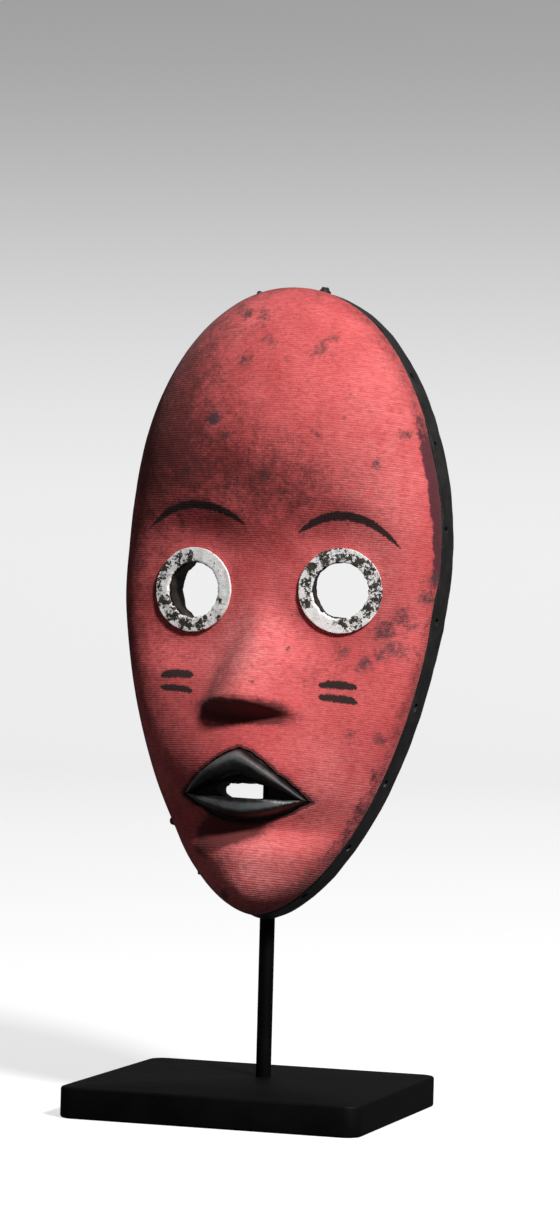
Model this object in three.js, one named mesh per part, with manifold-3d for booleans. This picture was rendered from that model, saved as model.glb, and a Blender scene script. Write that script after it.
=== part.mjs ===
// A carved wooden face mask of the Dan people, covered with red cotton cloth, with two
// flat metal rings round its eyes, standing on a steel rod and foot.
// Millimetres, +Z up. The origin is the centre of the foot's underside, and the mask
// looks towards -Y. The mask's own frame has x to the viewer's right, z up from the tip
// of the chin and -y out of the face; "depth" is how far a point stands out of the flat
// back of the rim.

import * as THREE from "three";
import { mergeVertices } from "three/addons/utils/BufferGeometryUtils.js";
import Module from "manifold-3d";

const wasm = await Module();
wasm.setup();

// Carved wood: the outline, the black rim band and the depth of the face.
const MASK_HEIGHT = 250;
const HALF_WIDTH = 65.5;
const WIDEST_SHARE = 0.55; // height of the widest level, as a share of the mask's height
const CROWN_ROUNDNESS = 2.09; // exponents of the superellipse above and below that level
const CHIN_ROUNDNESS = 1.7;
const SKEW = { lean: -0.0098, third: 0.0042, fourth: 0.0084 }; // hand-carved unevenness
const BAND_DEPTH = 13;
const BAND_FLARE = 1.2; // the band widens by this much towards the back
const RIM_WIDTH = 8; // flat back of the rim
const FACE_DEPTH = 38; // greatest depth of the dome in front of the band
const WALL = 9;
const THREAD_HOLES = 22; // sewing holes all round the band
const THREAD_HOLE_RADIUS = 1.6;
const THREAD_HOLE_DEPTH = 20;
const THREAD_HOLE_DEEP = 9.4; // from the back of the rim to the middle of a hole
const RIM_EDGE = 1; // the band's worn back edge
const FEATURE_ROOT = 4; // the nose and lips reach this far into the wood

// Down the middle of the face: share of the height, and share of FACE_DEPTH.
const FACE_PROFILE = [
  [0, 1.7],
  [0.02, 1.6],
  [0.04, 1.44],
  [0.068, 1.24],
  [0.1, 1.05],
  [0.14, 0.61],
  [0.2, 0.68],
  [0.3, 0.68],
  [0.4, 0.53],
  [0.504, 0.41],
  [0.632, 0.71],
  [0.752, 0.97],
  [0.888, 1],
  [1, 0.9],
];

// Face features, as shares of the mask's height.
const NOSE = { bridge: 0.488, tip: 0.331, foot: 0.309, arch: 0.01, rise: 0.06 };
const NOSE_HALF_WIDTH = { bridge: 0.036, tip: 0.076 };
const MUZZLE = { height: 0.208, rise: 0.052, halfWidth: 0.12, halfHeight: 0.085 };
const LIPS = { corner: 0.184, halfWidth: 0.099, top: 0.07, bottom: 0.036, rise: 0.026 };
const MOUTH = { halfWidth: 0.087, top: 0.034, bottom: 0.004, floor: 0.03 };
const SLOT = { centre: -0.004, halfWidth: 0.042, low: -0.002, high: 0.022 };

// Eyes: x as a share of HALF_WIDTH, z of MASK_HEIGHT, and the slope a seat is turned by.
const EYES = [
  { side: "right", x: -0.455, z: 0.503, turn: -0.05 },
  { side: "left", x: 0.453, z: 0.513, turn: 0 },
];

// Eye holes and metal eye rings, in millimetres.
const EYE_HOLE_RADIUS = 11.5;
const RING_OUTER_RADIUS = 16.5;
const RING_INNER_RADIUS = 11.1;
const RING_THICKNESS = 1.5;
const RING_BEVEL = 0.4;
const SEAT_MARGIN = 1.2; // flat wood round each ring
const PAD_SPREAD = 6; // a seat's side slopes out to this far beyond the flat, at PAD_DEPTH
const PAD_DEPTH = 5;
const CLEAR_SPREAD = 14; // the wood in front of a seat is cut away in a cone this much wider
const CLEAR_HEIGHT = 20;

// Cotton cloth, in millimetres.
const CLOTH_THICKNESS = 0.9;
const GAP = 0.3; // between pieces that touch
const CLOTH_EYE_MARGIN = 1.8; // the ring covers the cloth's cut edge by the rest of its width

// Steel stand, in millimetres.
const FOOT_WIDTH = 120;
const FOOT_LENGTH = 110;
const FOOT_THICKNESS = 12;
const FOOT_CORNER = 6;
const FOOT_BEVEL = 1;
const ROD_RADIUS = 3;
const ROD_SETBACK = 15; // behind the middle of the foot
const ROD_SOCKET_DEPTH = 8;
const ROD_SHOWING = 62; // from the foot to the chin
const CRADLE_RADIUS = 2;
const CRADLE_HALF_WIDTH = 28;
const CRADLE_CLEARANCE = 1.4; // between the bow and the hollow's curved wall
const MASK_LEAN = THREE.MathUtils.degToRad(6); // top leans back
const MASK_TURN = THREE.MathUtils.degToRad(1.45); // top leans to the viewer's right

// Fineness of the faceted surfaces.
const SPOKES = 36;
const ROUND_SIDES = 24;
const MOUTH_POINTS = 24;
const SLOT_POINTS = 16;
const RINGS = [0, 0.15, 0.29, 0.43, 0.56, 0.68, 0.79, 0.88, 0.94, 0.98, 0.999];
const INNER_RINGS = [0, 0.2, 0.4, 0.58, 0.74, 0.87, 0.95, 0.985];

const WIDEST = WIDEST_SHARE * MASK_HEIGHT;
const LEDGE = CLOTH_THICKNESS + GAP; // step of bare wood that the cloth's edge stands on
const MESH_CENTRE = 0.4 * MASK_HEIGHT; // spokes meet here, under the nose
const SEAT_RADIUS = RING_OUTER_RADIUS + SEAT_MARGIN; // flat wood under each eye ring
const FRONT_LIMIT = BAND_DEPTH + FACE_DEPTH + 0.2 * MASK_HEIGHT; // nothing reaches this far out

const UP = new THREE.Vector3(0, 1, 0); // axis of three.js cylinders and lathes

// The smaller of two numbers, rounded where they are nearly equal.
const softMin = (a, b, r) => (a + b - Math.hypot(a - b, r)) / 2;

// Distance from the middle of the widest level to the outline grown by `grow`.
function outlineRadius(angle, grow) {
  const c = Math.abs(Math.cos(angle));
  const s = Math.abs(Math.sin(angle));
  const above = Math.sin(angle) > 0;
  const n = above ? CROWN_ROUNDNESS : CHIN_ROUNDNESS;
  const half = (above ? MASK_HEIGHT - WIDEST : WIDEST) + grow;
  const plain = ((c / (HALF_WIDTH + grow)) ** n + (s / half) ** n) ** (-1 / n);
  const lean = SKEW.lean * Math.sin(2 * angle);
  const waves = SKEW.third * Math.cos(3 * angle) + SKEW.fourth * Math.sin(4 * angle);
  return plain * (1 + lean + waves);
}

function outlinePoint(angle, grow) {
  const r = outlineRadius(angle, grow);
  return [r * Math.cos(angle), WIDEST + r * Math.sin(angle)];
}

// 0 in the middle of the face and 1 on the outline grown by `grow`.
function outwardShare(x, z, grow) {
  return Math.hypot(x, z - WIDEST) / outlineRadius(Math.atan2(z - WIDEST, x), grow);
}

// Smooth curve through [position, value] points, flat slopes taken from neighbours.
function profile(points, at) {
  const last = points.length - 1;
  let i = 0;
  while (i < last - 1 && at > points[i + 1][0]) i += 1;
  const slope = (j) => {
    const a = points[Math.max(j - 1, 0)];
    const b = points[Math.min(j + 1, last)];
    return (b[1] - a[1]) / (b[0] - a[0]);
  };
  const width = points[i + 1][0] - points[i][0];
  const t = THREE.MathUtils.clamp((at - points[i][0]) / width, 0, 1);
  return (
    (1 + 2 * t) * (1 - t) ** 2 * points[i][1] +
    t * (1 - t) ** 2 * width * slope(i) +
    t * t * (3 - 2 * t) * points[i + 1][1] +
    t * t * (t - 1) * width * slope(i + 1)
  );
}

function domeDepth(x, z) {
  const k = Math.min(outwardShare(x, z, -BAND_FLARE - LEDGE), 1);
  return FACE_DEPTH * profile(FACE_PROFILE, z / MASK_HEIGHT) * (1 - k ** 2.6) ** (1 / 2.1);
}

function muzzleDepth(x, z) {
  const across = x / (MUZZLE.halfWidth * MASK_HEIGHT);
  const up = (z / MASK_HEIGHT - MUZZLE.height) / MUZZLE.halfHeight;
  return MUZZLE.rise * MASK_HEIGHT * Math.exp(-across * across - up * up);
}

// A wedge that widens downwards and is cut off by a slanting underside. Negative beside it.
function noseRise(x, z) {
  const rise = NOSE.rise * MASK_HEIGHT;
  const down = (NOSE.bridge - z / MASK_HEIGHT) / (NOSE.bridge - NOSE.tip);
  const across = Math.abs(x) / noseHalfWidth(z);
  const ridge = rise * down - rise * (Math.max(down, 0) + 0.14) * across ** 2.5;
  const footLine = NOSE.foot + NOSE.arch * across * across;
  const underside = (rise * (z / MASK_HEIGHT - footLine)) / (NOSE.tip - NOSE.foot);
  return softMin(ridge, underside, 0.06 * rise);
}

function noseHalfWidth(z) {
  const down = (NOSE.bridge - z / MASK_HEIGHT) / (NOSE.bridge - NOSE.tip);
  const share = THREE.MathUtils.clamp(down, 0, 1.1);
  return MASK_HEIGHT * THREE.MathUtils.lerp(NOSE_HALF_WIDTH.bridge, NOSE_HALF_WIDTH.tip, share);
}

// Depth of the carved face without its nose and lips.
function faceDepth(x, z) {
  return BAND_DEPTH + domeDepth(x, z) + muzzleDepth(x, z) * (1 - Math.min(outwardShare(x, z, 0), 1) ** 6);
}

// The flat seat that each eye ring lies on: its middle and outward normal.
const seats = EYES.map((eye) => {
  const x = eye.x * HALF_WIDTH;
  const z = eye.z * MASK_HEIGHT;
  const reach = 0.8 * RING_OUTER_RADIUS;
  const [east, west] = [faceDepth(x + reach, z), faceDepth(x - reach, z)];
  const [north, south] = [faceDepth(x, z + reach), faceDepth(x, z - reach)];
  const across = west - east + 2 * reach * eye.turn;
  const normal = new THREE.Vector3(across, -2 * reach, south - north).normalize();
  const depth = (east + west + north + south) / 4;
  return { side: eye.side, middle: new THREE.Vector3(x, -depth, z), normal };
});

// Depth of the hollow behind the face.
function hollowDepth(x, z) {
  const k = Math.min(outwardShare(x, z, -RIM_WIDTH), 1);
  const face = FACE_DEPTH * profile(FACE_PROFILE, z / MASK_HEIGHT) + 0.5 * muzzleDepth(x, z);
  return (BAND_DEPTH + face - WALL) * (1 - k ** 2.4) ** (1 / 1.9);
}

// Point of a surface given by its depth, moved out of the wood by `out` along its normal.
function raisedPoint(depthAt, x, z, out) {
  const step = 0.3;
  const slopeX = (depthAt(x + step, z) - depthAt(x - step, z)) / (2 * step);
  const slopeZ = (depthAt(x, z + step) - depthAt(x, z - step)) / (2 * step);
  const normal = new THREE.Vector3(-slopeX, -1, -slopeZ).normalize();
  return new THREE.Vector3(x, -depthAt(x, z), z).addScaledVector(normal, out);
}

// Directions round the outline, spread so that their points stand evenly along it.
function spreadAngle(turn) {
  return Math.atan2(Math.sin(turn) * (MASK_HEIGHT / 2), Math.cos(turn) * HALF_WIDTH);
}

// A ring of points, each `share` of the way from the mesh's centre to the outline.
function polarRing(share, grow, place) {
  if (share === 0) return [place(0, MESH_CENTRE)];
  const ring = [];
  for (let i = 0; i < SPOKES; i += 1) {
    const [x, z] = outlinePoint(spreadAngle((2 * Math.PI * i) / SPOKES), grow);
    ring.push(place(x * share, MESH_CENTRE + (z - MESH_CENTRE) * share));
  }
  return ring;
}

// A closed solid from rings that run from one pole to the other. The first and last
// rings are single points. From ring `mirrored` on, the triangles' diagonals run the
// other way, so that a sheet's inside is faceted like its outside.
function solidFromRings(rings, mirrored = rings.length) {
  const points = rings.flat();
  const starts = [];
  let count = 0;
  for (const ring of rings) {
    starts.push(count);
    count += ring.length;
  }
  const triangles = [];
  for (let r = 0; r + 1 < rings.length; r += 1) {
    const near = rings[r].length;
    const far = rings[r + 1].length;
    const sides = Math.max(near, far);
    for (let i = 0; i < sides; i += 1) {
      const j = (i + 1) % sides;
      const a = starts[r] + (i % near);
      const b = starts[r] + (j % near);
      const c = starts[r + 1] + (i % far);
      const d = starts[r + 1] + (j % far);
      if (near === 1) triangles.push(a, d, c);
      else if (far === 1) triangles.push(a, b, c);
      else if (r < mirrored) triangles.push(a, b, c, b, d, c);
      else triangles.push(a, b, d, a, d, c);
    }
  }
  return toSolid(points, triangles);
}

// A solid from points and triangles, turned to face outwards if they face in.
function toSolid(points, triangles) {
  const vertProperties = new Float32Array(points.flatMap((p) => [p.x, p.y, p.z]));
  const build = (triVerts) => new wasm.Manifold(new wasm.Mesh({ numProp: 3, vertProperties, triVerts }));
  const solid = build(new Uint32Array(triangles));
  return solid.volume() > 0 ? solid : build(new Uint32Array(triangles).reverse());
}

// A three.js geometry as a solid, moved by `matrix`.
function geometryToSolid(geometry, matrix = new THREE.Matrix4()) {
  const plain = geometry.clone().applyMatrix4(matrix);
  plain.deleteAttribute("normal");
  plain.deleteAttribute("uv");
  const merged = mergeVertices(plain, 1e-4);
  const position = merged.getAttribute("position");
  const points = [];
  for (let i = 0; i < position.count; i += 1) {
    points.push(new THREE.Vector3().fromBufferAttribute(position, i));
  }
  return toSolid(points, Array.from(merged.index.array));
}

function solidToGeometry(solid) {
  const mesh = solid.getMesh();
  const geometry = new THREE.BufferGeometry();
  geometry.setAttribute("position", new THREE.BufferAttribute(new Float32Array(mesh.vertProperties), 3));
  geometry.setIndex(new THREE.BufferAttribute(new Uint32Array(mesh.triVerts), 1));
  geometry.computeVertexNormals();
  return geometry;
}

// A straight round bar or cone between two points.
function bar(from, to, radiusFrom, radiusTo, sides) {
  const along = new THREE.Vector3().subVectors(to, from);
  const length = along.length();
  const turn = new THREE.Quaternion().setFromUnitVectors(UP, along.normalize());
  const middle = new THREE.Vector3().addVectors(from, to).multiplyScalar(0.5);
  const place = new THREE.Matrix4().compose(middle, turn, new THREE.Vector3(1, 1, 1));
  return geometryToSolid(new THREE.CylinderGeometry(radiusTo, radiusFrom, length, sides), place);
}

// A prism along y whose section is a closed list of [x, z] points.
function prism(outline, depthFrom, depthTo) {
  const shape = new THREE.Shape(outline.map(([x, z]) => new THREE.Vector2(x, z)));
  const geometry = new THREE.ExtrudeGeometry(shape, { depth: depthTo - depthFrom, bevelEnabled: false });
  // the shape's y becomes z, and the extrusion runs out of the face, along -y
  const place = new THREE.Matrix4().makeBasis(
    new THREE.Vector3(1, 0, 0),
    new THREE.Vector3(0, 0, 1),
    new THREE.Vector3(0, -1, 0),
  );
  place.setPosition(0, -depthFrom, 0);
  return geometryToSolid(geometry, place);
}

// Closed outline round the lips or the mouth. `turn` runs from the viewer's right corner
// over the top to the left corner and back below.
function mouthPoint(turn, form, grow) {
  const across = Math.cos(turn);
  const half = form.halfWidth * MASK_HEIGHT + grow * 1.6;
  const up = Math.sin(turn) > 0;
  const height = (up ? form.top : form.bottom) * MASK_HEIGHT + grow;
  const bow = 1 - Math.abs(across) ** (up ? 1.3 : 1.7);
  return [across * half, LIPS.corner * MASK_HEIGHT + (up ? 1 : -1) * height * bow];
}

function mouthOutline(form, grow) {
  const outline = [];
  for (let i = 0; i < MOUTH_POINTS; i += 1) {
    outline.push(mouthPoint((2 * Math.PI * i) / MOUTH_POINTS, form, grow));
  }
  return outline;
}

// The pierced opening: a rounded rectangle.
function slotOutline() {
  const outline = [];
  const middle = LIPS.corner + (SLOT.high + SLOT.low) / 2;
  const half = (SLOT.high - SLOT.low) / 2;
  const rounding = (value) => Math.sign(value) * Math.abs(value) ** 0.6;
  for (let i = 0; i < SLOT_POINTS; i += 1) {
    const turn = (2 * Math.PI * (i + 0.5)) / SLOT_POINTS;
    const x = SLOT.centre + SLOT.halfWidth * rounding(Math.cos(turn));
    const z = middle + half * rounding(Math.sin(turn));
    outline.push([x * MASK_HEIGHT, z * MASK_HEIGHT]);
  }
  return outline;
}

// Lips: a closed ring of sections round the mouth, each [share across, share of the rise].
const LIP_SECTION = [
  [0, 0.25],
  [0.12, 0.62],
  [0.36, 0.95],
  [0.62, 1],
  [0.88, 0.72],
  [1, 0.3],
];

function lips() {
  const rise = LIPS.rise * MASK_HEIGHT;
  const rings = [];
  for (let i = 0; i < MOUTH_POINTS; i += 1) {
    const turn = (2 * Math.PI * i) / MOUTH_POINTS;
    const outer = mouthPoint(turn, LIPS, 0);
    const inner = mouthPoint(turn, MOUTH, 0);
    const swell = rise * (0.25 + 0.75 * Math.abs(Math.sin(turn)) ** 0.6);
    const section = LIP_SECTION.map(([across, up]) => {
      const x = outer[0] + (inner[0] - outer[0]) * across;
      const z = outer[1] + (inner[1] - outer[1]) * across;
      return new THREE.Vector3(x, -(faceDepth(x, z) + swell * up), z);
    });
    const foot = [inner, outer].map(([x, z]) => new THREE.Vector3(x, -(faceDepth(x, z) - FEATURE_ROOT), z));
    rings.push([...section, ...foot]);
  }
  const size = rings[0].length;
  const triangles = [];
  for (let i = 0; i < MOUTH_POINTS; i += 1) {
    const next = (i + 1) % MOUTH_POINTS;
    for (let j = 0; j < size; j += 1) {
      const k = (j + 1) % size;
      const [a, b, c, d] = [i * size + j, i * size + k, next * size + j, next * size + k];
      triangles.push(a, b, d, a, d, c);
    }
  }
  return toSolid(rings.flat(), triangles);
}

// Round cutter or plug along a seat's normal, from `inside` to `outside` its plane.
function eyePlug(seat, radiusIn, radiusOut, inside, outside) {
  const from = seat.middle.clone().addScaledVector(seat.normal, inside);
  const to = seat.middle.clone().addScaledVector(seat.normal, outside);
  return bar(from, to, radiusIn, radiusOut, ROUND_SIDES);
}

// The nose as a solid that is rooted in the face's wall and stands `out` proud of it.
const NOSE_ROWS = [-0.12, 0.04, 0.3, 0.6, 0.85, 0.96, 1, 1.04, 1.12, 1.22, 1.3];
const NOSE_COLUMNS = [-1.12, -0.9, -0.6, -0.3, -0.1, 0.1, 0.3, 0.6, 0.9, 1.12];

function nose(out) {
  const depthAt = (x, z) => faceDepth(x, z) + Math.max(noseRise(x, z), -0.7 * FEATURE_ROOT);
  const front = [];
  const back = [];
  for (const row of NOSE_ROWS) {
    const z = MASK_HEIGHT * (NOSE.bridge - (NOSE.bridge - NOSE.tip) * row);
    for (const column of NOSE_COLUMNS) {
      const x = column * noseHalfWidth(z);
      front.push(raisedPoint(depthAt, x, z, out));
      back.push(new THREE.Vector3(x, -(faceDepth(x, z) - FEATURE_ROOT), z));
    }
  }
  const width = NOSE_COLUMNS.length;
  const triangles = [];
  const quad = (a, b, c, d) => triangles.push(a, b, c, a, c, d);
  for (let r = 0; r + 1 < NOSE_ROWS.length; r += 1) {
    for (let c = 0; c + 1 < width; c += 1) {
      const i = r * width + c;
      const j = i + front.length;
      quad(i, i + width, i + width + 1, i + 1);
      quad(j, j + 1, j + width + 1, j + width);
    }
  }
  const edge = [];
  for (let c = 0; c + 1 < width; c += 1) edge.push(c);
  for (let r = 0; r + 1 < NOSE_ROWS.length; r += 1) edge.push(r * width + width - 1);
  for (let c = width - 1; c > 0; c -= 1) edge.push(front.length - width + c);
  for (let r = NOSE_ROWS.length - 1; r > 0; r -= 1) edge.push(r * width);
  edge.forEach((i, n) => {
    const j = edge[(n + 1) % edge.length];
    quad(i, j, j + front.length, i + front.length);
  });
  return toSolid([...front, ...back], triangles);
}

// Adds the nose and the flat eye seats to a face, all standing `out` proud of the wood.
function withFeatures(face, out) {
  const padRadius = SEAT_RADIUS + PAD_SPREAD;
  const clearRadius = SEAT_RADIUS + CLEAR_SPREAD;
  let solid = face.add(nose(out));
  for (const seat of seats) {
    solid = solid.add(eyePlug(seat, padRadius + out, SEAT_RADIUS + out, -PAD_DEPTH, out));
    solid = solid.subtract(eyePlug(seat, SEAT_RADIUS, clearRadius, out, out + CLEAR_HEIGHT));
  }
  return solid;
}

function threadHoles() {
  const cutters = [];
  for (let i = 0; i < THREAD_HOLES; i += 1) {
    const turn = (2 * Math.PI * (i + 0.5)) / THREAD_HOLES;
    const [x, z] = outlinePoint(spreadAngle(turn), RIM_EDGE);
    const inward = new THREE.Vector3(-Math.cos(turn) * MASK_HEIGHT, 0, -Math.sin(turn) * 2 * HALF_WIDTH);
    inward.normalize();
    const from = new THREE.Vector3(x, -THREAD_HOLE_DEEP, z);
    const to = from.clone().addScaledVector(inward, THREAD_HOLE_DEPTH);
    cutters.push(bar(from, to, THREAD_HOLE_RADIUS, THREAD_HOLE_RADIUS, 6));
  }
  return wasm.Manifold.union(cutters);
}

function woodenMask() {
  const edge = -BAND_FLARE - LEDGE;
  const front = RINGS.map((share) =>
    polarRing(share, edge, (x, z) => new THREE.Vector3(x, -faceDepth(x, z), z)),
  );
  const flatRing = (grow, depth) => polarRing(1, grow, (x, z) => new THREE.Vector3(x, -depth, z));
  const rim = [
    flatRing(edge, BAND_DEPTH),
    flatRing(-BAND_FLARE, BAND_DEPTH),
    flatRing(0, RIM_EDGE),
    flatRing(-RIM_EDGE, 0),
    flatRing(-RIM_WIDTH, 0),
  ];
  const hollow = INNER_RINGS.toReversed().map((share) =>
    polarRing(share, -RIM_WIDTH, (x, z) => new THREE.Vector3(x, -hollowDepth(x, z), z)),
  );
  let wood = withFeatures(solidFromRings([...front, ...rim, ...hollow]), 0);

  const floor = faceDepth(0, LIPS.corner * MASK_HEIGHT) - MOUTH.floor * MASK_HEIGHT;
  wood = wood.subtract(prism(mouthOutline(MOUTH, 0), floor, FRONT_LIMIT));
  wood = wood.add(lips());
  wood = wood.subtract(prism(slotOutline(), 0, FRONT_LIMIT));
  for (const seat of seats) {
    wood = wood.subtract(eyePlug(seat, EYE_HOLE_RADIUS, EYE_HOLE_RADIUS, -FACE_DEPTH, FACE_DEPTH));
  }
  return wood.subtract(threadHoles());
}

// The face without its hollow, `out` proud of the wood; only its front is used.
function solidFace(out) {
  const edge = -BAND_FLARE - LEDGE;
  const front = RINGS.map((share) => polarRing(share, edge, (x, z) => raisedPoint(faceDepth, x, z, out)));
  const skirt = polarRing(1, edge + out, (x, z) => new THREE.Vector3(x, -BAND_DEPTH / 2, z));
  const back = polarRing(0, edge, (x, z) => new THREE.Vector3(x, 0, z));
  return withFeatures(solidFromRings([...front, skirt, back]), out);
}

function clothCover() {
  let cover = solidFace(GAP + CLOTH_THICKNESS).subtract(solidFace(GAP));
  cover = cover.trimByPlane([0, -1, 0], BAND_DEPTH + GAP);
  cover = cover.subtract(prism(mouthOutline(LIPS, 2 * GAP), 0, FRONT_LIMIT));
  for (const seat of seats) {
    const radius = EYE_HOLE_RADIUS + CLOTH_EYE_MARGIN;
    cover = cover.subtract(eyePlug(seat, radius, radius, -FACE_DEPTH, FACE_DEPTH));
  }
  return cover;
}

function eyeRing() {
  const b = RING_BEVEL;
  const section = [
    [RING_INNER_RADIUS, 0],
    [RING_OUTER_RADIUS, 0],
    [RING_OUTER_RADIUS, RING_THICKNESS - b],
    [RING_OUTER_RADIUS - b, RING_THICKNESS],
    [RING_INNER_RADIUS + b, RING_THICKNESS],
    [RING_INNER_RADIUS, RING_THICKNESS - b],
    [RING_INNER_RADIUS, 0],
  ];
  const lathe = new THREE.LatheGeometry(section.map(([r, y]) => new THREE.Vector2(r, y)), ROUND_SIDES);
  return solidToGeometry(geometryToSolid(lathe));
}

function material(name, color, roughness, metalness) {
  return new THREE.MeshStandardMaterial({ name, color, roughness, metalness });
}

const wood = material("black_wood", 0x15120f, 0.45, 0);
const cloth = material("red_cloth", 0xc9454a, 0.9, 0);
const metal = material("ring_metal", 0xb9bab8, 0.5, 0.8);
const steel = material("stand_steel", 0x0c0c0c, 0.55, 0.3);

function named(name, geometry, look) {
  const mesh = new THREE.Mesh(geometry, look);
  mesh.name = name;
  return mesh;
}

// The mask, leaning back and a little to one side about the tip of its chin.
const chinWall = RIM_WIDTH * Math.sin(MASK_LEAN);
const mask = new THREE.Group();
mask.rotation.set(-MASK_LEAN, MASK_TURN, 0, "XYZ");
mask.position.set(0, ROD_SETBACK - ROD_RADIUS - GAP - chinWall, FOOT_THICKNESS + ROD_SHOWING);
mask.updateMatrix();
mask.add(named("wooden_mask", solidToGeometry(woodenMask()), wood));
mask.add(named("cloth_cover", solidToGeometry(clothCover()), cloth));
for (const seat of seats) {
  const ring = named(`eye_ring_${seat.side}`, eyeRing(), metal);
  ring.quaternion.setFromUnitVectors(UP, seat.normal);
  ring.position.copy(seat.middle).addScaledVector(seat.normal, CLOTH_THICKNESS + 2 * GAP);
  mask.add(ring);
}

// The foot, with a blind socket for the rod.
function footPlate() {
  const w = FOOT_WIDTH / 2 - FOOT_BEVEL;
  const l = FOOT_LENGTH / 2 - FOOT_BEVEL;
  const r = FOOT_CORNER;
  const shape = new THREE.Shape();
  shape.moveTo(-w + r, -l);
  shape.lineTo(w - r, -l);
  shape.absarc(w - r, -l + r, r, -Math.PI / 2, 0, false);
  shape.lineTo(w, l - r);
  shape.absarc(w - r, l - r, r, 0, Math.PI / 2, false);
  shape.lineTo(-w + r, l);
  shape.absarc(-w + r, l - r, r, Math.PI / 2, Math.PI, false);
  shape.lineTo(-w, -l + r);
  shape.absarc(-w + r, -l + r, r, Math.PI, 1.5 * Math.PI, false);
  const plate = new THREE.ExtrudeGeometry(shape, {
    depth: FOOT_THICKNESS - 2 * FOOT_BEVEL,
    bevelThickness: FOOT_BEVEL,
    bevelSize: FOOT_BEVEL,
    bevelSegments: 1,
    curveSegments: 5,
  });
  const socket = bar(
    new THREE.Vector3(0, ROD_SETBACK, FOOT_THICKNESS - ROD_SOCKET_DEPTH),
    new THREE.Vector3(0, ROD_SETBACK, FOOT_THICKNESS + 1),
    ROD_RADIUS + GAP,
    ROD_RADIUS + GAP,
    ROUND_SIDES / 2,
  );
  return geometryToSolid(plate, new THREE.Matrix4().makeTranslation(0, 0, FOOT_BEVEL)).subtract(socket);
}

// Highest the cradle's middle line may run under the crown, inside the hollow.
function cradlePoint(x) {
  const back = mask.matrix.clone().invert();
  const clear = CRADLE_RADIUS + CRADLE_CLEARANCE;
  let z = FOOT_THICKNESS + ROD_SHOWING + MASK_HEIGHT;
  const fits = (height) => {
    for (let i = 0; i < 16; i += 1) {
      const turn = (2 * Math.PI * i) / 16;
      const p = new THREE.Vector3(x, ROD_SETBACK + clear * Math.cos(turn), height + clear * Math.sin(turn));
      p.applyMatrix4(back);
      if (-p.y > hollowDepth(p.x, p.z) || outwardShare(p.x, p.z, -RIM_WIDTH) >= 1) return false;
    }
    return true;
  };
  while (!fits(z)) z -= 0.25;
  return new THREE.Vector3(x, ROD_SETBACK, z);
}

// The rod, with the bow welded across its top that the crown hangs on.
function rodAndCradle() {
  const shares = [-1, -0.67, -0.33, 0, 0.33, 0.67, 1];
  const path = new THREE.CatmullRomCurve3(shares.map((share) => cradlePoint(share * CRADLE_HALF_WIDTH)));
  const section = new THREE.Shape().absarc(0, 0, CRADLE_RADIUS, 0, 2 * Math.PI, false);
  const bow = new THREE.ExtrudeGeometry(section, {
    steps: 18,
    curveSegments: 4,
    extrudePath: path,
    bevelEnabled: false,
  });
  const top = cradlePoint(0).z;
  const rod = bar(
    new THREE.Vector3(0, ROD_SETBACK, FOOT_THICKNESS - ROD_SOCKET_DEPTH + GAP),
    new THREE.Vector3(0, ROD_SETBACK, top),
    ROD_RADIUS,
    ROD_RADIUS,
    ROUND_SIDES / 2,
  );
  return rod.add(geometryToSolid(bow));
}

const part = new THREE.Group();
part.add(mask);
part.add(named("stand_foot", solidToGeometry(footPlate()), steel));
part.add(named("stand_rod", solidToGeometry(rodAndCradle()), steel));

export default part;
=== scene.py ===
"""The looks of a carved, cloth-covered face mask of the Dan people, on its display stand.

Blender's objects are in metres. The forms below are worked out in millimetres, in the
mask's own frame: x to the viewer's right, z up from the tip of the chin, and depth out of
the flat back of the rim, towards the viewer. The row's frame has +Z up, and the mask looks
towards -Y.
"""

import bmesh
import bpy
import numpy as np
from mathutils import Matrix, Vector, geometry, kdtree, noise


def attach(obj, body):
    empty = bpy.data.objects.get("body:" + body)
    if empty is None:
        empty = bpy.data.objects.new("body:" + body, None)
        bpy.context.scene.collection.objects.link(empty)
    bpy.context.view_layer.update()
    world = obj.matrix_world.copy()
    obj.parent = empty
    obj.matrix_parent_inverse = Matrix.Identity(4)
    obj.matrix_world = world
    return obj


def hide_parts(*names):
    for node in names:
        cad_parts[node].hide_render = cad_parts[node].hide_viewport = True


MM = 0.001

# Carved wood, in millimetres and as in the part's source.
MASK_HEIGHT = 250.0
HALF_WIDTH = 65.5
WIDEST = 0.55 * MASK_HEIGHT
CROWN_ROUNDNESS = 2.09
CHIN_ROUNDNESS = 1.7
SKEW_LEAN = -0.0098
SKEW_THIRD = 0.0042
SKEW_FOURTH = 0.0084
BAND_DEPTH = 13.0
BAND_FLARE = 1.2
RIM_WIDTH = 8.0
FACE_DEPTH = 38.0
WALL = 9.0
THREAD_HOLES = 22
THREAD_HOLE_RADIUS = 1.6
THREAD_HOLE_DEPTH = 20.0
THREAD_HOLE_DEEP = 9.4  # from the rim's back to a hole's middle
SCOOP_DEPTH = 0.8  # of the adze's cuts in the hollow
MESH_CENTRE = 0.4 * MASK_HEIGHT  # the wood's rings close round this height

# Down the middle of the face: share of the height, and share of FACE_DEPTH.
FACE_PROFILE = [
    (0, 1.7), (0.02, 1.6), (0.04, 1.44), (0.068, 1.24), (0.1, 1.05), (0.14, 0.61),
    (0.2, 0.68), (0.3, 0.68), (0.4, 0.53), (0.504, 0.41), (0.632, 0.71), (0.752, 0.97),
    (0.888, 1), (1, 0.9),
]

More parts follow.
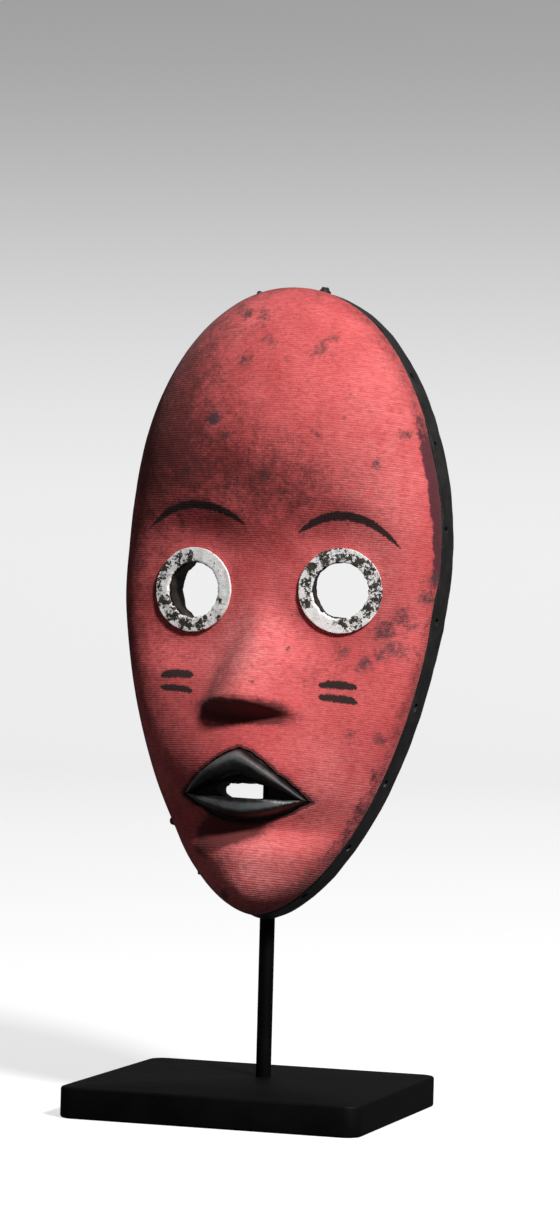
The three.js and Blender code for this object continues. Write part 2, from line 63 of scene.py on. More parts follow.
# Face features: shares of the mask's height, or lengths made from them.
NOSE_BRIDGE = 0.488
NOSE_TIP = 0.331
NOSE_FOOT = 0.309
NOSE_ARCH = 0.01
NOSE_RISE = 0.06 * MASK_HEIGHT
NOSE_HALF_WIDTHS = (0.036, 0.076)
MUZZLE_HEIGHT = 0.208
MUZZLE_RISE = 0.052 * MASK_HEIGHT
MUZZLE_HALF_WIDTH = 0.12 * MASK_HEIGHT
MUZZLE_HALF_HEIGHT = 0.085
LIP_CORNER = 0.184 * MASK_HEIGHT
LIP_RISE = 0.026 * MASK_HEIGHT
LIPS = {"half_width": 0.099, "top": 0.07, "bottom": 0.036}
MOUTH = {"half_width": 0.087, "top": 0.034, "bottom": 0.004}
MOUTH_FLOOR = 0.03 * MASK_HEIGHT
SLOT_LOW = (-0.046 * MASK_HEIGHT, -0.002 * MASK_HEIGHT)
SLOT_HIGH = (0.038 * MASK_HEIGHT, 0.022 * MASK_HEIGHT)

# Eyes: x as a share of HALF_WIDTH, z of MASK_HEIGHT, and the slope a seat is turned by.
EYES = {"right": (-0.455, 0.503, -0.05), "left": (0.453, 0.513, 0.0)}
EYE_HOLE_RADIUS = 11.5
RING_OUTER_RADIUS = 16.5
RING_INNER_RADIUS = 11.1
RING_THICKNESS = 1.2
RING_SNIPS = 15  # straight cuts round a ring's outline
RING_SEEDS = {"right": 31.0, "left": 47.0}  # where its unevenness starts
SEAT_MARGIN = 1.2  # flat wood round each ring
SEAT_RADIUS = RING_OUTER_RADIUS + SEAT_MARGIN
SEAT_BLEND = 19.0  # a seat's side slopes out over this far
# An eye hole's cut: share of EYE_HOLE_RADIUS, and place along the seat's normal.
EYE_CUT = [(1.06, -FACE_DEPTH), (1.02, -9), (0.965, -5), (0.94, -2), (0.95, 0.2), (0.98, 7)]

# Cotton cloth.
CLOTH_OUT = 1.2  # from the wood to the cloth's front
CLOTH_IN = 0.08  # and to its back
CLOTH_CUT = 0.75  # and to its front along a cut edge
CLOTH_EYE_MARGIN = 1.8  # from an eye hole to the cloth's edge
CLOTH_MESH = 1.15  # between the points of its mesh
WEFT_PITCH = 0.9
WARP_PITCH = 0.62
ACROSS_STRETCH = 1.08  # cloth over the dome, for each unit of x
EDGE = -BAND_FLARE - CLOTH_OUT  # the wood's outline under the cloth

# Round the outside of the wood, from the face to the hollow: growth of the outline, depth.
RIM_SECTION = [
    (EDGE, BAND_DEPTH), (-BAND_FLARE - 0.3, BAND_DEPTH),
    (-BAND_FLARE + 0.05, BAND_DEPTH - 0.5), (-0.95, 10.4), (-0.65, 7.4), (-0.3, 4.2),
    (-0.05, 1.4), (-0.35, 0.5), (-1.1, 0.08), (-3.5, 0.0), (-RIM_WIDTH + 0.5, 0.0),
]
# Over a lip: share across from its outer to its inner line, and share of its rise.
LIP_SECTION = [
    (-0.06, -0.35), (0.0, 0.26), (0.05, 0.54), (0.11, 0.78), (0.19, 0.95), (0.28, 1.02),
    (0.38, 1.0), (0.52, 0.92), (0.68, 0.80), (0.84, 0.68), (0.95, 0.54), (1.0, 0.30),
    (1.02, -0.6), (0.98, -1.4),
]
# Round a metal ring: share across from inside to outside, and share of its thickness.
RING_SECTION = [
    (0.0, 0.0), (-0.03, 0.45), (0.0, 0.85), (0.06, 1.0), (0.2, 1.02), (0.35, 1.0),
    (0.5, 1.0), (0.65, 0.98), (0.8, 0.97), (0.93, 1.0), (0.985, 0.96), (1.0, 0.72),
    (1.0, 0.25), (0.985, 0.0),
]

# Points round each form.
WOOD_SIDES = 192
LIP_SIDES = 200
RING_SIDES = 220
CUTTER_SIDES = 56
MOUTH_SIDES = 120
SLOT_SIDES = 96
ROD_SIDES = 32
EDGE_POINTS = {"rim": 460, "eye": 60, "lips": 190}
STUDIO_SIDES = 96

# Steel stand.
FOOT_WIDTH = 120.0
FOOT_LENGTH = 110.0
FOOT_THICKNESS = 12.0
FOOT_CORNER = 6.0
FOOT_BEVEL = 1.0
ROD_RADIUS = 3.0
ROD_SETBACK = 15.0
ROD_SOCKET_DEPTH = 8.0
ROD_SHOWING = 62.0
CRADLE_RADIUS = 2.0
CRADLE_HALF_WIDTH = 28.0
CRADLE_CLEARANCE = 1.4
WELD_HALF_WIDTH = 4.6
GAP = 0.3
MASK_LEAN = np.radians(6.0)
MASK_TURN = np.radians(1.45)

# Brows and cheek strokes: start, top and end, each (x, z), and thickness.
STROKES = [
    ((-50.5, 148.8), (-29.5, 158.0), (-7.9, 150.8), 1.9),
    ((12.4, 148.6), (31.0, 156.2), (52.6, 145.2), 2.05),
    ((-41.0, 91.2), (-33.0, 92.2), (-25.6, 91.8), 2.1),
    ((-40.4, 86.8), (-33.0, 86.4), (-24.9, 85.4), 1.8),
    ((25.2, 90.6), (32.7, 91.3), (40.2, 90.6), 2.0),
    ((25.8, 86.2), (33.3, 86.0), (40.8, 84.9), 1.95),
]
# Stains: x, z, radius and strength.
STAINS = [
    (-21.3, 190.5, 2.8, 1.15), (-15.0, 184.5, 4.0, 0.5), (-20.4, 238.4, 3.0, 0.6),
    (-16.4, 233.6, 3.8, 0.62), (-8.5, 231.4, 4.6, 0.6), (-4.1, 223.1, 4.0, 0.6),
    (2.0, 209.0, 3.4, 0.5), (-13.0, 213.5, 5.0, 0.45), (-30.0, 170.0, 6.0, 0.4),
    (42.0, 176.5, 3.2, 0.5), (4.2, 214.5, 2.8, 0.45), (16.3, 220.3, 4.6, 0.62),
    (19.9, 225.5, 3.0, 0.5), (-13.5, 203.0, 2.4, 0.35), (0.6, 168.6, 3.4, 0.42),
    (-12.2, 165.6, 3.6, 0.42), (50.0, 189.3, 2.4, 0.75), (47.0, 113.5, 6.4, 0.68),
    (54.0, 119.5, 5.0, 0.62), (50.5, 107.0, 6.0, 0.6), (60.5, 128.0, 4.0, 0.55),
    (33.2, 102.4, 4.6, 0.55), (41.3, 100.3, 4.8, 0.6), (46.0, 104.0, 5.0, 0.5),
    (47.4, 72.0, 3.0, 0.7), (37.8, 72.8, 2.6, 0.55), (62.0, 135.6, 3.2, 0.7),
    (-6.0, 8.8, 3.0, 0.7), (11.1, 103.7, 0.9, 0.95), (2.9, 88.8, 0.9, 0.9),
    (14.0, 118.0, 4.0, 0.45), (8.0, 84.6, 1.2, 0.35),
]
# Broad darkening, most of it painted shade on the forehead's left side and where it turns down over
# the brows and between them: strength, middle and reach, each in x and z.
BROAD_DARKENING = [
    (0.28, (-34, 200), (20, 24)),
    (0.60, (-18, 172), (36, 20)),
    (0.34, (14, 163), (20, 13)),
    (0.10, (0, 146), (17, 14)),
    (0.22, (30, 98), (17, 11)),
    (0.30, (0, 46), (32, 11)),
]
# Paler places, in the same way: partly faded cloth and partly painted light, where the light falls
# full on the chin and the nose.
FADES_AND_PAINTED_LIGHT = [
    (0.22, (-26, 222), (24, 26)),
    (0.50, (42, 165), (16, 55)),
    # painted light over the nose and its left flank, with the ridge's own fading
    (1.00, (-5, 102), (17, 20)),
    (0.50, (30, 50), (14, 22)),
    # painted light on the chin
    (1.10, (4, 18), (18, 13)),
]
# Knots of wood and fibre on the band: x, z and size.
BURRS = [(-19.9, 247.8, 2.2), (7.1, 248.6, 2.0), (-36.5, 36.5, 2.5), (-24.5, 13.6, 2.2)]

# Dark patches on each metal ring: clock angle in degrees from +x, share across, size.
RING_PATCHES = {
    "right": [
        (118, 0.55, 0.50), (150, 0.75, 0.62), (205, 0.45, 0.72), (232, 0.40, 0.62),
        (258, 0.50, 0.75), (285, 0.35, 0.60), (100, 0.30, 0.45), (180, 0.85, 0.42),
        (318, 0.78, 0.36), (342, 0.20, 0.30),
    ],
    "left": [
        (118, 0.62, 0.78), (142, 0.55, 0.70), (92, 0.55, 0.62), (62, 0.35, 0.66),
        (35, 0.45, 0.72), (8, 0.70, 0.80), (-8, 0.62, 0.70), (-30, 0.15, 0.62),
        (-62, 0.40, 0.58), (-82, 0.20, 0.50), (172, 0.40, 0.50), (200, 0.55, 0.46),
    ],
}

# The photograph's camera.
CAMERA_TARGET = Vector((0, 10.86, 199)) * MM
CAMERA_DISTANCE = 1.5
CAMERA_YAW = np.radians(18.0)
CAMERA_ROLL = np.radians(1.48)
CAMERA_SLIDE = (3.02 * MM, -2.31 * MM)  # right, up
CAMERA_LENS = 113.38

# The studio, in metres.
STUDIO_RADIUS = 4.2
STUDIO_COVE = 1.2
AIR_STRENGTH = 0.10
LIGHTS = [
    {
        "name": "key",
        "size": 0.30,
        "power": 46.0,
        "colour": (1.0, 0.985, 0.97),
        "place": (1.04, -0.85, 1.25),
        "aim": (0.0, 0.0, 0.2),
    },
    {
        "name": "back",
        "size": 2.0,
        "power": 40.0,
        "colour": (1.0, 1.0, 1.0),
        "place": (0.3, 1.4, 2.8),
        "aim": (0.0, 3.6, 0.3),
    },
]


# Forms of the carved face


def soft_max(a, b, r):
    return (a + b + np.hypot(a - b, r)) / 2


def soft_min(a, b, r):
    return (a + b - np.hypot(a - b, r)) / 2


def smooth_step(low, high, value):
    t = np.clip((value - low) / (high - low), 0, 1)
    return t * t * (3 - 2 * t)


def full_turn(count):
    """Evenly spaced angles, once round."""
    return np.linspace(0, 2 * np.pi, count, endpoint=False)


def columns(*values):
    """Points from their x, y and z, or from x and y alone."""
    return np.stack(values, axis=-1)


def soft_spot(x, z, middle, reach, power=2):
    """1 in the middle, falling off over the reach in x and in z."""
    return np.exp(-(((x - middle[0]) / reach[0]) ** power) - ((z - middle[1]) / reach[1]) ** power)


def soft_spots(x, z, rows):
    return sum(strength * soft_spot(x, z, middle, reach) for strength, middle, reach in rows)


def outline_radius(angle, grow):
    c = np.abs(np.cos(angle))
    s = np.abs(np.sin(angle))
    above = np.sin(angle) > 0
    n = np.where(above, CROWN_ROUNDNESS, CHIN_ROUNDNESS)
    half = np.where(above, MASK_HEIGHT - WIDEST, WIDEST) + grow
    plain = ((c / (HALF_WIDTH + grow)) ** n + (s / half) ** n) ** (-1 / n)
    waves = SKEW_THIRD * np.cos(3 * angle) + SKEW_FOURTH * np.sin(4 * angle)
    return plain * (1 + SKEW_LEAN * np.sin(2 * angle) + waves)


def outline_point(angle, grow):
    r = outline_radius(angle, grow)
    return r * np.cos(angle), WIDEST + r * np.sin(angle)


def outward_share(x, z, grow):
    """0 in the middle of the face and 1 on the outline grown by `grow`."""
    return np.hypot(x, z - WIDEST) / outline_radius(np.arctan2(z - WIDEST, x), grow)


def profile(points, at):
    """Smooth curve through (position, value) points, with slopes from their neighbours."""
    place, value = np.array(points, float).T
    last = len(points) - 1
    index = np.arange(last + 1)
    low = np.maximum(index - 1, 0)
    high = np.minimum(index + 1, last)
    slope = (value[high] - value[low]) / (place[high] - place[low])
    i = np.clip(np.searchsorted(place, at, side="right") - 1, 0, last - 1)
    width = place[i + 1] - place[i]
    t = np.clip((at - place[i]) / width, 0, 1)
    return (
        (1 + 2 * t) * (1 - t) ** 2 * value[i]
        + t * (1 - t) ** 2 * width * slope[i]
        + t * t * (3 - 2 * t) * value[i + 1]
        + t * t * (t - 1) * width * slope[i + 1]
    )


def muzzle_depth(x, z):
    up = (z / MASK_HEIGHT - MUZZLE_HEIGHT) / MUZZLE_HALF_HEIGHT
    return MUZZLE_RISE * np.exp(-((x / MUZZLE_HALF_WIDTH) ** 2) - up * up)


def face_depth(x, z):
    """Depth of the carved face without its nose, lips and eye seats."""
    k = np.minimum(outward_share(x, z, EDGE), 1)
    dome = FACE_DEPTH * profile(FACE_PROFILE, z / MASK_HEIGHT) * (1 - k**2.6) ** (1 / 2.1)
    inside = 1 - np.minimum(outward_share(x, z, 0), 1) ** 6
    return BAND_DEPTH + dome + muzzle_depth(x, z) * inside


def nose_rise(x, z):
    """A wedge that widens downwards, cut off by a slanting underside. Negative beside it."""
    down = (NOSE_BRIDGE - z / MASK_HEIGHT) / (NOSE_BRIDGE - NOSE_TIP)
    top, bottom = NOSE_HALF_WIDTHS
    half = MASK_HEIGHT * (top + (bottom - top) * np.clip(down, 0, 1.1))
    across = np.abs(x) / half
    ridge = NOSE_RISE * (down - (np.maximum(down, 0) + 0.14) * across**1.8)
    foot_line = NOSE_FOOT + NOSE_ARCH * np.minimum(across, 1.6) ** 2
    underside = NOSE_RISE * (z / MASK_HEIGHT - foot_line) / (NOSE_TIP - NOSE_FOOT)
    return soft_min(ridge, underside, 0.09 * NOSE_RISE)


def eye_seats():
    """The flat seat of each eye ring: its middle and its outward normal."""
    seats = {}
    for side, (share_x, share_z, turn) in EYES.items():
        x, z = share_x * HALF_WIDTH, share_z * MASK_HEIGHT
        reach = 0.8 * RING_OUTER_RADIUS
        east, west = face_depth(x + reach, z), face_depth(x - reach, z)
        north, south = face_depth(x, z + reach), face_depth(x, z - reach)
        normal = Vector((west - east + 2 * reach * turn, -2 * reach, south - north)).normalized()
        middle = Vector((x, -(east + west + north + south) / 4, z))
        seats[side] = {"middle": middle, "normal": normal}
    return seats


SEATS = eye_seats()


def carved_depth(x, z):
    """Depth of the carved front: face, nose and the flat seats of the eye rings."""
    face = face_depth(x, z)
    depth = soft_max(face, face + nose_rise(x, z), 4.5)
    for seat in SEATS.values():
        m, n = seat["middle"], seat["normal"]
        plane = -m.y + (n.x * (x - m.x) + n.z * (z - m.z)) / n.y
        away = np.hypot(x - m.x, z - m.z)
        share = 1 - smooth_step(SEAT_RADIUS, SEAT_RADIUS + SEAT_BLEND, away)
        depth = depth * (1 - share) + plane * share
    return depth


def hollow_depth(x, z):
    k = np.minimum(outward_share(x, z, -RIM_WIDTH), 1)
    face = FACE_DEPTH * profile(FACE_PROFILE, z / MASK_HEIGHT) + 0.5 * muzzle_depth(x, z)
    return (BAND_DEPTH + face - WALL) * (1 - k**2.4) ** (1 / 1.9)


def raised(depth_at, x, z, out):
    """Points of a surface given by its depth, moved out along its normal by `out`."""
    step = 0.3
    slope_x = (depth_at(x + step, z) - depth_at(x - step, z)) / (2 * step)
    slope_z = (depth_at(x, z + step) - depth_at(x, z - step)) / (2 * step)
    length = np.sqrt(slope_x**2 + slope_z**2 + 1)
    share = out / length
    return columns(x - slope_x * share, -(depth_at(x, z) + share), z - slope_z * share)


def mouth_point(turn, form, grow):
    """Closed outline round the lips or the mouth, over the top from the viewer's right."""
    across = np.cos(turn)
    up = np.sin(turn) > 0
    height = np.where(up, form["top"], form["bottom"]) * MASK_HEIGHT + grow
    bow = 1 - np.abs(across) ** np.where(up, 1.3, 1.7)
    x = across * (form["half_width"] * MASK_HEIGHT + grow * 1.6)
    return x, LIP_CORNER + np.where(up, 1, -1) * height * bow


def spread_angle(turn):
    """Directions round the outline, spread so that their points stand evenly along it."""
    return np.arctan2(np.sin(turn) * MASK_HEIGHT / 2, np.cos(turn) * HALF_WIDTH)


def mask_to_row():
    lean = Matrix.Rotation(-MASK_LEAN, 4, "X")
    turn = Matrix.Rotation(MASK_TURN, 4, "Y")
    back = ROD_SETBACK - ROD_RADIUS - GAP - RIM_WIDTH * np.sin(MASK_LEAN)
    return Matrix.Translation((0, back, FOOT_THICKNESS + ROD_SHOWING)) @ lean @ turn


MASK_TO_ROW = mask_to_row()


# Mesh helpers


def unevenness(points, size, shift):
    """Smooth noise between -1 and 1 at each point, with lumps about `size` across."""
    move = Vector((shift, 2.3 * shift, -1.7 * shift))
    return np.array([noise.noise(Vector(p) / size + move) for p in points])


def on_outline(turns, size, shift):
    """The same noise on a closed loop, for ragged edges."""
    ring = columns(np.cos(turns), np.sin(turns), np.zeros_like(turns))
    return unevenness(ring * size, 1.0, shift)


def faces_outwards(mesh):
    bm = bmesh.new()
    bm.from_mesh(mesh)
    bmesh.ops.recalc_face_normals(bm, faces=bm.faces)
    bm.to_mesh(mesh)
    bm.free()


def new_mesh(name, points, faces, matrix=None):
    """A mesh from points in millimetres, moved into the row's frame and made metric."""
    mesh = bpy.data.meshes.new(name)
    mesh.from_pydata(np.asarray(points, float).tolist(), [], [list(f) for f in faces])
    mesh.validate()
    mesh.transform(Matrix.Scale(MM, 4) @ (matrix or Matrix.Identity(4)))
    faces_outwards(mesh)
    return mesh


def new_object(name, data):
    made = bpy.data.objects.new(name, data)
    bpy.context.scene.collection.objects.link(made)
    return made


def new_piece(name, mesh, material, stands_for, sharp):
    """A shown piece that rides on the body and stands for its CAD node."""
    mesh.shade_smooth()
    mesh.set_sharp_from_angle(angle=np.radians(sharp))
    piece = new_object(name, mesh)
    mesh.materials.append(material)
    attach(piece, "root")
    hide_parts(stands_for)
    return piece


def add_vectors(mesh, name, values):
    attribute = mesh.attributes.new(name, "FLOAT_VECTOR", "POINT")
    attribute.data.foreach_set("vector", np.asarray(values, np.float32).ravel())


def add_numbers(mesh, name, values):
    attribute = mesh.attributes.new(name, "FLOAT", "POINT")
    attribute.data.foreach_set("value", np.asarray(values, np.float32))


def points_of(mesh):
    points = np.zeros(len(mesh.vertices) * 3)
    mesh.vertices.foreach_get("co", points)
    return points.reshape(-1, 3)


def places_in_mask(mesh):
    """Each vertex as (x, -depth, z) in the mask's frame, in millimetres."""
    back = np.array(MASK_TO_ROW.inverted())
    return points_of(mesh) / MM @ back[:3, :3].T + back[:3, 3]


def ring_faces(rings, sides, closed=False):
    """Quads between rings of `sides` points each that follow one another."""
    faces = []
    last = rings if closed else rings - 1
    for r in range(last):
        a, b = r * sides, (r + 1) % rings * sides
        for i in range(sides):
            j = (i + 1) % sides
            faces.append((a + i, a + j, b + j, b + i))
    return faces


def capped_faces(rings, sides):
    """The same quads, with one face over the first ring and one over the last."""
    total = rings * sides
    caps = [tuple(range(sides)), tuple(range(total - 1, total - sides - 1, -1))]
    return ring_faces(rings, sides) + caps


def inside_loop(points, loop):
    """Which points lie inside a closed loop, both in a plane."""
    x, y = points[:, 0], points[:, 1]
    found = np.zeros(len(points), bool)
    for (x0, y0), (x1, y1) in zip(loop, np.roll(loop, -1, axis=0)):
        if y0 == y1:
            continue
        crosses = (y0 > y) != (y1 > y)
        found ^= crosses & (x < (x1 - x0) * (y - y0) / (y1 - y0) + x0)
    return found


def distance_to(points, targets):
    """Distance from each point to the nearest target point, in a plane."""
    tree = kdtree.KDTree(len(targets))
    for i, (x, y) in enumerate(targets):
        tree.insert((x, y, 0), i)
    tree.balance()
    return np.array([tree.find((x, y, 0))[2] for x, y in points])


def in_region(points, outer, holes):
    keep = inside_loop(points, outer)
    for hole in holes:
        keep &= ~inside_loop(points, hole)
    return keep


def filled_region(outer, holes, spacing):
    """Even triangles between an outer loop and the loops of its holes."""
    low, high = outer.min(0), outer.max(0)
    rows = np.arange(low[1], high[1], spacing * 0.866)
    places = np.arange(low[0], high[0], spacing)
    shifts = [spacing / 2 if r % 2 else 0 for r in range(len(rows))]
    grid = np.array([(x + shift, y) for shift, y in zip(shifts, rows) for x in places])
    grid = grid[in_region(grid, outer, holes)]
    loops = [outer, *holes]
    edge_points = np.concatenate(loops)
    grid = grid[distance_to(grid, edge_points) > 0.55 * spacing]
    edges = []
    start = 0
    for loop in loops:
        count = len(loop)
        edges += [(start + i, start + (i + 1) % count) for i in range(count)]
        start += count
    points = [Vector(p) for p in np.concatenate([edge_points, grid])]
    made, _, triangles, *_ = geometry.delaunay_2d_cdt(points, edges, [], 0, 1e-6)
    made = np.array([tuple(p) for p in made])
    triangles = np.array([tuple(t) for t in triangles])
    return made, triangles[in_region(made[triangles].mean(1), outer, holes)]


# Paint: materials made of shader nodes


class Value:
    """A shader value that can be added, taken away and multiplied as a number is."""

    def __init__(self, paint, socket):
        self.paint = paint
        self.socket = socket

    def __add__(self, other):
        return self.paint.math("ADD", self, other)

    def __sub__(self, other):
        return self.paint.math("SUBTRACT", self, other)

    def __rsub__(self, other):
        return self.paint.math("SUBTRACT", other, self)

    def __mul__(self, other):
        return self.paint.math("MULTIPLY", self, other)

    def __pow__(self, other):
        return self.paint.math("POWER", self, other)

    def __abs__(self):
        return self.paint.math("ABSOLUTE", self)


class Paint:
    """A new material, and short ways to add nodes to it."""

    def __init__(self, name):
        self.material = bpy.data.materials.new(name)
        self.material.use_nodes = True
        self.tree = self.material.node_tree
        self.tree.nodes.clear()
        self.surface = self.tree.nodes.new("ShaderNodeBsdfPrincipled")
        output = self.tree.nodes.new("ShaderNodeOutputMaterial")
        self.tree.links.new(self.surface.outputs["BSDF"], output.inputs["Surface"])

    def put(self, socket, value):
        if isinstance(value, Value):
            self.tree.links.new(value.socket, socket)
        else:
            socket.default_value = value

    def wired(self, node, inputs, output=0):
        """Puts values into a node's inputs, and gives one of its outputs."""
        for name, value in inputs.items():
            self.put(node.inputs[name], value)
        return Value(self, node.outputs[output])

    def set(self, **values):
        """Sets the shader's own sockets, with _ for a space in a socket's name."""
        for name, value in values.items():
            self.put(self.surface.inputs[name.replace("_", " ")], value)

    def math(self, operation, a, b=0.0, clamp=False):
        node = self.tree.nodes.new("ShaderNodeMath")
        node.operation = operation
        node.use_clamp = clamp
        return self.wired(node, {0: a, 1: b})

    def largest(self, *values):
        found = values[0]
        for value in values[1:]:
            found = self.math("MAXIMUM", found, value)
        return found

    def wave(self, value, pitch):
        """Even waves from 0 to 1."""
        return self.math("SINE", value * (2 * np.pi / pitch)) * 0.5 + 0.5

    def attribute(self, name, output="Fac"):
        node = self.tree.nodes.new("ShaderNodeAttribute")
        node.attribute_name = name
        return self.wired(node, {}, output)

    def position(self):
        return self.wired(self.tree.nodes.new("ShaderNodeNewGeometry"), {}, "Position")

    def part(self, vector, axis):
        return self.wired(self.tree.nodes.new("ShaderNodeSeparateXYZ"), {0: vector}, axis)

    def scaled(self, vector, scale):
        node = self.tree.nodes.new("ShaderNodeVectorMath")
        node.operation = "MULTIPLY"
        return self.wired(node, {0: vector, 1: scale})

    def noise(self, vector, size, detail=2.0, roughness=0.5, twist=0.0):
        """Cloudy noise from 0 to 1 with lumps about `size` across, in the vector's units."""
        inputs = {
            "Vector": vector,
            "Scale": 1.0 / size,
            "Detail": detail,
            "Roughness": roughness,
            "Distortion": twist,
        }
        return self.wired(self.tree.nodes.new("ShaderNodeTexNoise"), inputs, "Fac")

    def ramp(self, value, low, high, start=0.0, end=1.0):
        """`start` below `low`, `end` above `high`, and smooth between."""
        node = self.tree.nodes.new("ShaderNodeMapRange")
        node.interpolation_type = "SMOOTHSTEP"
        ends = {"From Min": low, "From Max": high, "To Min": start, "To Max": end}
        return self.wired(node, {"Value": value, **ends}, "Result")

    def mix(self, share, a, b):
        """Colour `a` with a share of colour `b` over it."""
        node = self.tree.nodes.new("ShaderNodeMix")
        node.data_type = "RGBA"
        a, b = (v if isinstance(v, Value) else (*v, 1.0) for v in (a, b))
        return self.wired(node, {0: share, 6: a, 7: b}, 2)

    def bump(self, height, distance, under=None):
        """Relief `distance` millimetres deep, on top of another bump if there is one."""
        inputs = {"Height": height, "Distance": distance * MM}
        if under is not None:
            inputs["Normal"] = under
        return self.wired(self.tree.nodes.new("ShaderNodeBump"), inputs, "Normal")


def painted_line(paint, x, z, stroke):
    """How far inside a brush stroke through three points a place is, in millimetres."""
    (x0, z0), (x1, z1), (x2, z2), thick = stroke
    left = paint.math("MINIMUM", x - x1, 0.0)
    right = paint.math("MAXIMUM", x - x1, 0.0)
    fall_left = (left * (1 / (x0 - x1))) ** 2.1 * (z0 - z1)
    fall_right = (right * (1 / (x2 - x1))) ** 2.1 * (z2 - z1)
    middle = fall_left + fall_right + z1
    off_centre = abs((x - (x0 + x2) / 2) * (2 / (x2 - x0)))
    taper = paint.math("SUBTRACT", 1.0, off_centre**5.0, clamp=True)
    return taper**0.6 * thick - abs(z - middle)


def cloth_material():
    """Red ribbed cotton: faded, soiled and stained, with painted light and shade, and painted brows
    and cheek strokes.
    """
    paint = Paint("red_cloth")
    place = paint.attribute("mask_place", "Vector")
    thread = paint.attribute("thread_place", "Vector")

    waver = (paint.noise(place, 14.0) - 0.5) * 0.5
    rib = paint.wave(paint.part(thread, "Y") + waver, WEFT_PITCH)
    warp = paint.wave(paint.part(thread, "X") + waver * 0.5, WARP_PITCH)
    thread_height = rib * 0.75 + warp * 0.25
    slub = paint.noise(paint.scaled(thread, (0.12, 1.6, 1.0)), 1.0, 3.0, 0.6)
    fuzz = paint.noise(paint.scaled(thread, (0.45, 1.3, 1.0)), 0.9, 4.0, 0.75)
    grain = paint.noise(paint.scaled(thread, (0.55, 1.3, 1.0)), 1.5, 5.0, 0.8)
    lumps = paint.noise(place, 3.4, 3.0, 0.6)
    cloudy = paint.noise(place, 26.0, 4.0, 0.6, 0.3)
    mottled = paint.noise(place, 6.0, 5.0, 0.7, 0.4)
    fine = paint.noise(place, 1.7, 4.0, 0.75)

    red = paint.mix(paint.ramp(cloudy, 0.32, 0.7), (0.47, 0.064, 0.068), (0.66, 0.126, 0.130))
    # paler red: faded cloth, and painted light on the chin and the nose
    fade_and_light_share = paint.attribute("fade_and_light") * paint.ramp(mottled, 0.3, 0.65, 0.25, 1.0)
    red = paint.mix(fade_and_light_share, red, (0.86, 0.27, 0.27))
    red = paint.mix(paint.ramp(slub, 0.35, 0.75) * 0.35, red, (0.50, 0.055, 0.055))
    # painted shade: the grooves between the ribs are painted darker
    red = paint.mix(paint.ramp(thread_height, 0.0, 0.6, 0.42, 0.0), red, (0.30, 0.022, 0.024))
    red = paint.mix(paint.ramp(fuzz, 0.48, 0.78, 0.0, 0.30), red, (0.80, 0.27, 0.26))
    red = paint.mix(paint.ramp(grain, 0.34, 0.60, 0.50, 0.0), red, (0.24, 0.020, 0.022))

    smoky = mottled * 0.55 + fine * 0.45 - 0.5
    grime_and_shade = paint.ramp(paint.attribute("grime_and_shade") + smoky * 2.3, 0.02, 0.95)
    # grime together with painted shade and shadow: under the nose and the lower lip, over the brows
    # and down the viewer's left side
    red = paint.mix(grime_and_shade * 0.92, red, (0.085, 0.014, 0.014))
    fringe = paint.ramp(paint.attribute("fringe") + smoky * 2.2, 0.25, 0.75, 0.0, 0.92)
    red = paint.mix(fringe, red, (0.050, 0.010, 0.017))
    stain = paint.ramp(paint.attribute("stain") + smoky * 2.4, 0.20, 0.80)
    red = paint.mix(stain * 0.84, red, (0.046, 0.026, 0.030))
    speck = paint.ramp(paint.noise(place, 1.25), 0.715, 0.76)
    red = paint.mix(speck * 0.55, red, (0.060, 0.020, 0.020))

    rough = (paint.noise(place, 1.3, 5.0, 0.8) - 0.5) * 3.0
    x, z = paint.part(place, "X"), paint.part(place, "Z")
    lines = [painted_line(paint, x, z, stroke) for stroke in STROKES]
    cover = paint.ramp(fine + rib * 0.1, 0.28, 0.42, 0.78, 0.97)
    marks = paint.ramp(paint.largest(*lines) + rough, 0.1, 0.75) * cover
    colour = paint.mix(marks, red, (0.010, 0.008, 0.008))
    edge = paint.ramp(paint.attribute("cut") + (fine - 0.5) * 0.9, 0.35, 0.75)
    colour = paint.mix(edge * 0.85, colour, (0.040, 0.012, 0.012))

    normal = paint.bump(lumps, 0.16)
    normal = paint.bump(thread_height, 0.07, normal)
    normal = paint.bump(fuzz + slub, 0.09, normal)
    paint.set(Base_Color=colour, Normal=normal, Roughness=0.88, Specular_IOR_Level=0.28)
    paint.set(Sheen_Weight=0.12, Sheen_Roughness=0.5, Sheen_Tint=(0.9, 0.5, 0.48, 1.0))
    return paint.material


